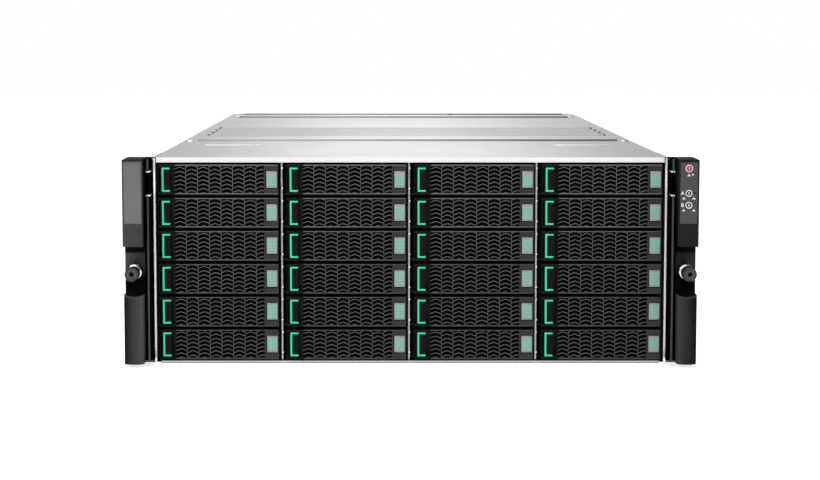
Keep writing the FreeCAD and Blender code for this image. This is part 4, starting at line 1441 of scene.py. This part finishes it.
def ear_plate(s, holes):
    """Inset front plate of the right ear with round holes, each a height and a radius, and its middle."""
    outer = EARS_HIGH.x - s.plate_outer_margin
    inner = EARS_HIGH.x - s.width + s.plate_margin
    top = EARS_HIGH.z - s.plate_from_top
    front = EARS_LOW.y
    shape = upright_sheet(inner, outer, top - s.plate_height, top, front)
    middle = (inner + outer) / 2
    for height, radius in holes:
        for place in (height - radius - s.hole_margin, height + radius + s.hole_margin):
            slice_at(shape, 2, place)
    for height, radius in holes:
        face = next(f for f in shape.faces if abs(f.calc_center_median().z - height) < NEAR)
        edges = face.edges[:]
        bmesh.ops.delete(shape, geom=[face], context="FACES_ONLY")
        rim = bmesh.ops.subdivide_edges(shape, edges=edges, cuts=7)["geom_split"]
        rim = [e for e in rim if isinstance(e, bmesh.types.BMEdge)]
        bridge_circle(shape, rim, facing_front(middle, front, height), radius, 32)
    return thicken(shape, (0, s.plate_sheet, 0)), middle


def ferrule(s):
    """Bright ferrule round the right thumb screw, standing on the recess's floor."""
    floor = FRONT - s.recess
    front = floor - s.ferrule_length
    foot_height, waist_rear, waist_front = 0.0012, 0.002, 0.0018
    collar_height, collar_round, collar_inset = 0.0014, 0.0004, 0.0006
    bore, foot, waist, collar = s.ferrule_bore, s.ferrule_foot, s.ferrule_waist, s.ferrule_collar
    profile = [
        (bore, floor),
        (foot, floor),
        (foot, floor - foot_height),
        (waist, floor - waist_rear),
        (waist, front + waist_front),
        (collar, front + collar_height),
        (collar, front + collar_round),
        (collar - collar_inset, front),
        (bore, front),
        (bore, floor),
    ]
    return turned(profile, SCREW_X, SCREW_Z, 40)


class ARRAY_OT_ears(bpy.types.Operator):
    """Build the rack ears: covers, brackets, ferrules and the left front plate"""

    bl_idname = "array.ears"
    bl_label = "Rack Ears"

    def execute(self, context):
        s = context.scene.array_ear
        for side, flip in SIDES.items():
            cover = Piece()
            cover.add(moved(ear_cover(s), flip), "ear_black")
            cover.show(f"{side}_ear_cover", "chassis", "black_moulding", ["rack_ears"])
            bracket = Piece()
            sheets, lips = ear_bracket(s)
            for sheet in sheets:
                bracket.add(moved(sheet, flip), "bracket_black")
            for lip in lips:
                # The notch's lips are near white as a painted highlight.
                bracket.add(moved(lip, flip), "crease_steel")
            bracket.show(f"{side}_ear_bracket", "chassis", "black_moulding", ["rack_ears"])
            ring = Piece()
            ring.add(moved(ferrule(s), flip), "ferrule_chrome")
            ring.show(f"{side}_ferrule", "chassis", "bare_steel", ["rack_ears"])
        plate = Piece()
        plate.add(moved(ear_plate(s, [])[0], MIRROR_X), "left_plate")
        plate.show("left_ear_plate", "chassis", "black_moulding", ["rack_ears"])
        return {"FINISHED"}


# Control panel
def letter(text, x, z, y, size):
    """A capital letter as a thin print that faces the front."""
    curve = bpy.data.curves.new("letter", "FONT")
    curve.body = text
    curve.size = size
    curve.offset = size * 0.025
    curve.align_x = "CENTER"
    curve.align_y = "CENTER"
    holder = bpy.data.objects.new("letter", curve)
    bpy.context.scene.collection.objects.link(holder)
    bpy.context.view_layer.update()
    made = holder.evaluated_get(bpy.context.evaluated_depsgraph_get())
    mesh = bpy.data.meshes.new_from_object(made)
    shape = bmesh.new()
    shape.from_mesh(mesh)
    bpy.data.objects.remove(holder)
    bpy.data.curves.remove(curve)
    bpy.data.meshes.remove(mesh)
    return thicken(moved(shape, facing_front(x, y, z)), (0, INK, 0))


def hoop(x, z, y, outer, inner):
    """A flat printed ring that faces the front."""
    profile = [(inner, y), (outer, y), (outer, y + INK), (inner, y + INK), (inner, y)]
    return turned(profile, x, z)


def arrow(x, z, y, size):
    """A small printed triangle that points up."""
    half, rise = size / 2, 0.35 * size
    return prism([(x - half, y, z - rise), (x + half, y, z - rise), (x, y, z + rise)], (0, INK, 0))


def add_lamp_marks(plate, x, s):
    """Add the red indicator with its ring, and the marks below it."""
    y = EARS_LOW.y - INK
    z = EARS_HIGH.z - s.lamp_from_top
    front = y - s.lamp_rise
    plate.add(hoop(x, z, y, s.lamp_ring, s.lamp_radius), "ink_pink")
    disc = [(0, front), (s.lamp_flat, front), (s.lamp_radius, y), (s.lamp_radius, y + INK)]
    plate.add(turned(disc, x, z), "lamp_red")
    half, tall = s.mark_half_width, s.mark_half_height
    plate.add(block((x - half, front - INK, z - tall), (x + half, y, z + tall)), "ink_pink")
    plate.add(arrow(x + s.lamp_arrow_aside, z - s.lamp_arrow_drop, y, s.arrow_size), "ink_white")
    plate.add(hoop(x + s.dot_aside, z - s.dot_drop, y, s.dot_radius, 0), "ink_white")


def power_button(x, z, radius, low, high, s):
    """A button with a dished front, a printed ring and an upright bar."""
    profile = [
        (0, low + s.dish_depth),
        (s.dish_radius, low + 0.0002),
        (radius - s.button_ring, low),
        (radius - 0.0002, low + 0.0001),
        (radius, low + 0.0004),
        (radius, high),
        (0, high),
    ]
    button = Piece()
    button.add(turned(profile, x, z), "button_black")
    button.add(hoop(x, z, low - INK / 2, radius, radius - s.button_ring), "ink_white")
    half, tall = s.mark_half_width, s.bar_half_height
    bar = block((x - half, low, z - tall), (x + half, low + s.bar_depth, z + tall))
    button.add(bar, "ink_white")
    return button


class ARRAY_OT_panel(bpy.types.Operator):
    """Build the control panel: plate, marks, indicator and power buttons"""

    bl_idname = "array.panel"
    bl_label = "Control Panel"

    def execute(self, context):
        s = context.scene.array_panel
        radius = (BUTTON_HIGH.x - BUTTON_LOW.x) / 2
        boxes = {tag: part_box("power_button_" + tag) for tag in "ab"}
        heights = {tag: (low.z + high.z) / 2 for tag, (low, high) in boxes.items()}
        holes = [(z, radius + s.button_gap) for z in heights.values()]
        sheet, middle = ear_plate(context.scene.array_ear, holes)
        plate = Piece()
        plate.add(sheet, "right_plate")
        add_lamp_marks(plate, middle, s)
        front = EARS_LOW.y - INK
        for tag, z in heights.items():
            plate.add(letter(tag.upper(), middle - s.letter_aside, z, front, s.letter_size), "ink_white")
            for x in (middle - s.arrow_aside, middle + s.arrow_aside):
                plate.add(arrow(x, z - s.arrow_drop, front, s.arrow_size), "ink_white")
        plate.show("right_ear_plate", "chassis", "black_moulding", ["rack_ears"])
        for tag, (low, high) in boxes.items():
            name = "power_button_" + tag
            button = power_button(middle, heights[tag], radius, low.y, high.y, s)
            button.show(name + "_looks", name, "panel_button", [name])
        return {"FINISHED"}


# Thumb screws
def cross_plug(y, s):
    """Centre of the right knob with a cross recess."""
    cells = 7
    half = s.cross_field / 2
    shape = upright_sheet(SCREW_X - half, SCREW_X + half, SCREW_Z - half, SCREW_Z + half, y, cells, cells)
    rim = [e for e in shape.edges if e.is_boundary]
    place = facing_front(SCREW_X, y, SCREW_Z) @ Matrix.Rotation(math.pi / 4, 4, "Z")
    bridge_circle(shape, rim, place, s.plug_radius, 4 * cells)
    arm = half / cells
    cross = []
    for face in shape.faces:
        c = face.calc_center_median()
        near, far = sorted((abs(c.x - SCREW_X), abs(c.z - SCREW_Z)))
        if near < arm and far < 5.5 * arm:
            cross.append(face)
    pull(shape, cross, (0, s.cross_depth, 0))
    bmesh.ops.recalc_face_normals(shape, faces=shape.faces[:])
    if sum(f.normal.y * f.calc_area() for f in shape.faces) > 0:
        bmesh.ops.reverse_faces(shape, faces=shape.faces[:])
    return shape


def knurled_knob(s, flange_rear):
    """Knob and shank of the right thumb screw, with every other line of the knob's side pressed in."""
    front = SCREW_LOW.y
    rear = front + s.knob_length
    end = SCREW_HIGH.y
    face, groove = front + 0.0002, front + 0.0006
    face_radius, groove_inner, groove_outer, rim_inner = 0.0042, 0.0044, 0.0047, 0.0049
    rounding, neck_radius, heel_radius, tip_radius = 0.0005, 0.0054, 0.0046, 0.0022
    profile = [
        (s.plug_radius, front + s.plug_setback),
        (s.plug_radius, face),
        (face_radius, face),
        (groove_inner, groove),
        (groove_outer, groove),
        (rim_inner, front),
        (s.knob_radius - rounding, front),
        (s.knob_radius, groove),
        (s.knob_radius, rear - 0.002),
        (neck_radius, rear - 0.001),
        (heel_radius, rear),
        (s.shank_radius, rear),
        (s.shank_radius, flange_rear),
        (s.thread_radius, flange_rear),
        (s.thread_radius, end - 0.001),
        (tip_radius, end),
        (0, end),
    ]
    steps = 2 * s.knurls
    knob = turned(profile, SCREW_X, SCREW_Z, steps)
    for vert in knob.verts:
        aside = Vector((vert.co.x - SCREW_X, vert.co.z - SCREW_Z))
        line = round(math.atan2(aside.y, aside.x) * steps / (2 * math.pi))
        if aside.length > s.knob_radius - 0.0001 and line % 2:
            aside *= 1 - s.knurl_share
            vert.co.x = SCREW_X + aside.x
            vert.co.z = SCREW_Z + aside.y
    return knob


class ARRAY_OT_screws(bpy.types.Operator):
    """Build the captive thumb screws"""

    bl_idname = "array.screws"
    bl_label = "Thumb Screws"

    def execute(self, context):
        s = context.scene.array_screw
        ear = context.scene.array_ear
        flange_rear = FRONT + ear.back + ear.flange_sheet
        for side, flip in SIDES.items():
            name = f"{side}_thumb_screw"
            piece = Piece()
            # The knob's side takes the darker finish as painted shade.
            piece.add(moved(knurled_knob(s, flange_rear), flip), "knob_black", "knurl_shade_black")
            piece.add(moved(cross_plug(SCREW_LOW.y + s.plug_setback, s), flip), "knob_black")
            piece.show(name + "_looks", name, "black_knob", [name])
        return {"FINISHED"}


# Rear modules
def screen(x0, x1, z0, z1, s):
    """Punched screen behind a vent."""
    columns, rows = round((x1 - x0) / s.screen_pitch), round((z1 - z0) / s.screen_pitch)
    shape = upright_sheet(x0, x1, z0, z1, REAR - s.screen_setback, columns, rows)
    cells = shape.faces[:]
    bmesh.ops.inset_individual(shape, faces=cells, thickness=s.screen_wire / 2, use_even_offset=True)
    bmesh.ops.delete(shape, geom=cells, context="FACES")
    return thicken(shape, (0, s.screen_sheet, 0))


def port_frame(x0, x1, middle, s):
    """Bright frame round a port."""
    low, high = middle - s.port_height / 2, middle + s.port_height / 2
    rim = s.port_rim
    front, rear = REAR - s.port_sunk, REAR + s.port_proud
    sheet = pierced_sheet(x0 - rim, x1 + rim, low - rim, high + rim, front, rear, [(x0, x1, low, high)])
    return soften(sheet, 0.0002, 1)


def captive_screw(x, z):
    """Captive screw that faces the rear."""
    profile = [
        (0.0042, REAR - 0.0002),
        (0.0042, REAR + 0.0006),
        (0.0030, REAR + 0.0008),
        (0.0034, REAR + 0.0014),
        (0.0034, REAR + 0.0056),
        (0.0030, REAR + 0.0062),
        (0.0012, REAR + 0.0062),
        (0.0010, REAR + 0.0050),
        (0, REAR + 0.0050),
    ]
    return turned(profile, x, z)


def status_lamp(x, z, radius):
    """Small round lamp that faces the rear."""
    profile = [
        (radius, REAR - 0.0002),
        (radius, REAR + 0.0003),
        (radius * 0.6, REAR + 0.0007),
        (0, REAR + 0.0008),
    ]
    return turned(profile, x, z, 16)


class ARRAY_OT_controllers(bpy.types.Operator):
    """Finish the controllers: port frames, vent screens, screws and lamps"""

    bl_idname = "array.controllers"
    bl_label = "Controllers"

    def execute(self, context):
        s = context.scene.array_module
        for tag in "ab":
            name = "controller_" + tag
            dress(name, "module_steel")
            low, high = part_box(name)
            middle = low.z + s.ports_height
            piece = Piece()
            x = low.x + s.ports_from_side
            for width in [s.jack_width] * s.jack_count + [s.cage_width] * s.cage_count:
                piece.add(port_frame(x, x + width, middle, s), "nickel")
                port_lamp = status_lamp(x + width / 2, middle + s.port_height, s.port_lamp_radius)
                piece.add(port_lamp, "lamp_green")
                x += width + s.port_gap
            left, right = low.x + s.vent_margin, high.x - s.vent_margin
            vent_top = high.z - s.vent_margin
            piece.add(screen(left, right, vent_top - s.vent_height, vent_top, s), "fold_dark")
            for place in (low.x + s.screw_from_side, high.x - s.screw_from_side):
                piece.add(captive_screw(place, middle), "nickel")
            for i in range(s.lamp_count):
                place = x + s.lamps_from_ports + s.lamp_pitch * i
                piece.add(status_lamp(place, middle, s.lamp_radius), "lamp_green")
            piece.show(name + "_details", name, "module_steel")
        return {"FINISHED"}


class ARRAY_OT_power_supplies(bpy.types.Operator):
    """Finish the power supplies: inlet contacts, vent screens and lamps"""

    bl_idname = "array.power_supplies"
    bl_label = "Power Supplies"

    def execute(self, context):
        s = context.scene.array_module
        half_width, half_height = s.contact_width / 2, s.contact_height / 2
        tip, root = REAR - s.contact_setback, REAR - s.contact_root
        for tag in "ab":
            name = "power_supply_" + tag
            dress(name, "module_steel")
            low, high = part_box(name)
            piece = Piece()
            inlet_x = low.x + s.inlet_from_side
            inlet_z = low.z + s.inlet_height
            aside, drop = s.contact_aside, s.contact_drop
            for across, up in ((-aside, -drop), (aside, -drop), (0, s.contact_raise)):
                x, z = inlet_x + across, inlet_z + up
                contact = block(
                    (x - half_width, root, z - half_height), (x + half_width, tip, z + half_height)
                )
                piece.add(soften(contact, s.contact_edge, 2), "nickel")
            left, right = low.x + s.vent_margin, high.x - s.vent_margin
            vent_top = high.z - s.power_vent_from_top
            piece.add(screen(left, right, vent_top - s.power_vent_height, vent_top, s), "fold_dark")
            for i in range(s.power_lamp_count):
                place = high.x - s.power_lamp_from_side - s.power_lamp_pitch * i
                piece.add(status_lamp(place, inlet_z, s.lamp_radius), "lamp_green")
            piece.show(name + "_details", name, "module_steel")
        return {"FINISHED"}


# Stage
def ray(nodes, kind):
    """One for a kind of light ray, and zero for the others."""
    return nodes.node("ShaderNodeLightPath", {}, {}, f"Is {kind} Ray")


def seen(nodes):
    """One for what the camera sees, straight or through glass, and zero for other light."""
    return ray(nodes, "Camera") | ray(nodes, "Transmission")


def room(nodes, s):
    """Light of the studio: white to the camera, softboxes to shiny surfaces, even light to the rest."""
    way = nodes.node("ShaderNodeTexCoord", {}, {}, "Generated")
    across = nodes.node("ShaderNodeSeparateXYZ", {}, {0: way}, "X")
    ahead = nodes.node("ShaderNodeSeparateXYZ", {}, {0: way}, "Y")
    behind = s.rear_card * (1 - abs(across).fade(0.02, 0.17)) + s.rear_wall
    card = (1 - abs(across + 0.05).fade(0.08, 0.42)) * (1 - 3.2 * across)
    before = s.front_card * card + s.front_wall
    rear = ahead > 0
    shine = rear * behind + (1 - rear) * before
    glossy = ray(nodes, "Glossy")
    rest = glossy * shine + (1 - glossy) * s.ambient
    camera = seen(nodes)
    return camera + (1 - camera) * rest


def lay_floor(s):
    """Lay a white floor that keeps the object's shadow."""
    shape = bmesh.new()
    bmesh.ops.create_grid(shape, x_segments=1, y_segments=1, size=s.floor_half)
    mesh = bpy.data.meshes.new("floor")
    shape.to_mesh(mesh)
    shape.free()
    floor = bpy.data.objects.new("floor", mesh)
    bpy.context.scene.collection.objects.link(floor)
    pale = Finish("floor_white", roughness=0.9)
    pale.feed("Base Color", pale.mix(pale.noise(2.0), (0.8, 0.8, 0.8), (0.84, 0.84, 0.84)))
    white = seen(pale) + ray(pale, "Glossy") * s.floor_shine
    pale.feed("Emission Color", pale.node("ShaderNodeCombineColor", {}, {0: white, 1: white, 2: white}))
    pale.set("Emission Strength", s.floor_glow)
    mesh.materials.append(pale.material)


def area_lamp(name, place, aim, size, power):
    """Hang a large soft lamp."""
    data = bpy.data.lights.new(name, "AREA")
    data.shape = "RECTANGLE"
    data.size, data.size_y = size
    data.energy = power
    lamp = bpy.data.objects.new(name, data)
    lamp.location = place
    lamp.rotation_euler = (Vector(aim) - Vector(place)).to_track_quat("-Z", "Y").to_euler()
    bpy.context.scene.collection.objects.link(lamp)


class ARRAY_OT_stage(bpy.types.Operator):
    """Set the floor, the light and the camera"""

    bl_idname = "array.stage"
    bl_label = "Stage"

    def execute(self, context):
        s = context.scene.array_stage
        scene = context.scene
        scene.view_settings.view_transform = "Standard"
        world = bpy.data.worlds.new("studio")
        world.use_nodes = True
        scene.world = world
        sky = Nodes(world.node_tree, "BACKGROUND")
        sky.set("Color", (1.0, 1.0, 1.0))
        sky.feed("Strength", room(sky, s))
        lay_floor(s)
        area_lamp("key_lamp", s.key_place, s.key_aim, (s.key_width, s.key_height), s.key)
        area_lamp("top_lamp", s.fill_place, s.fill_aim, (s.fill_width, s.fill_depth), s.fill)
        data = bpy.data.cameras.new("camera")
        data.sensor_width = 36
        data.lens = s.lens
        data.shift_x = s.shift_aside
        data.shift_y = s.shift
        camera = bpy.data.objects.new("camera", data)
        camera.location = s.camera_place
        camera.rotation_euler = (math.pi / 2 - s.camera_pitch, 0, 0)
        scene.collection.objects.link(camera)
        scene.camera = camera
        return {"FINISHED"}


OPERATORS = (
    ARRAY_OT_carriers,
    ARRAY_OT_latches,
    ARRAY_OT_chassis,
    ARRAY_OT_lid,
    ARRAY_OT_dividers,
    ARRAY_OT_ears,
    ARRAY_OT_panel,
    ARRAY_OT_screws,
    ARRAY_OT_controllers,
    ARRAY_OT_power_supplies,
    ARRAY_OT_stage,
)


class ARRAY_PT_looks(bpy.types.Panel):
    """Steps that dress the storage array"""

    bl_label = "Storage Array"
    bl_idname = "ARRAY_PT_looks"
    bl_space_type = "VIEW_3D"
    bl_region_type = "UI"
    bl_category = "Storage Array"

    def draw(self, context):
        for operator in OPERATORS:
            self.layout.operator(operator.bl_idname)


def register():
    """Register the classes and their settings."""
    for kind in (*SETTINGS.values(), *OPERATORS, ARRAY_PT_looks):
        bpy.utils.register_class(kind)
    for name, kind in SETTINGS.items():
        setattr(bpy.types.Scene, name, PointerProperty(type=kind))


def unregister():
    """Remove the settings and the classes."""
    for name in SETTINGS:
        delattr(bpy.types.Scene, name)
    for kind in (ARRAY_PT_looks, *reversed(OPERATORS), *reversed(SETTINGS.values())):
        bpy.utils.unregister_class(kind)


def main():
    """Dress the array."""
    register()
    bpy.ops.array.carriers()
    bpy.ops.array.latches()
    bpy.ops.array.chassis()
    bpy.ops.array.lid()
    bpy.ops.array.dividers()
    bpy.ops.array.ears()
    bpy.ops.array.panel()
    bpy.ops.array.screws()
    bpy.ops.array.controllers()
    bpy.ops.array.power_supplies()
    bpy.ops.array.stage()


if __name__ == "__main__":
    main()
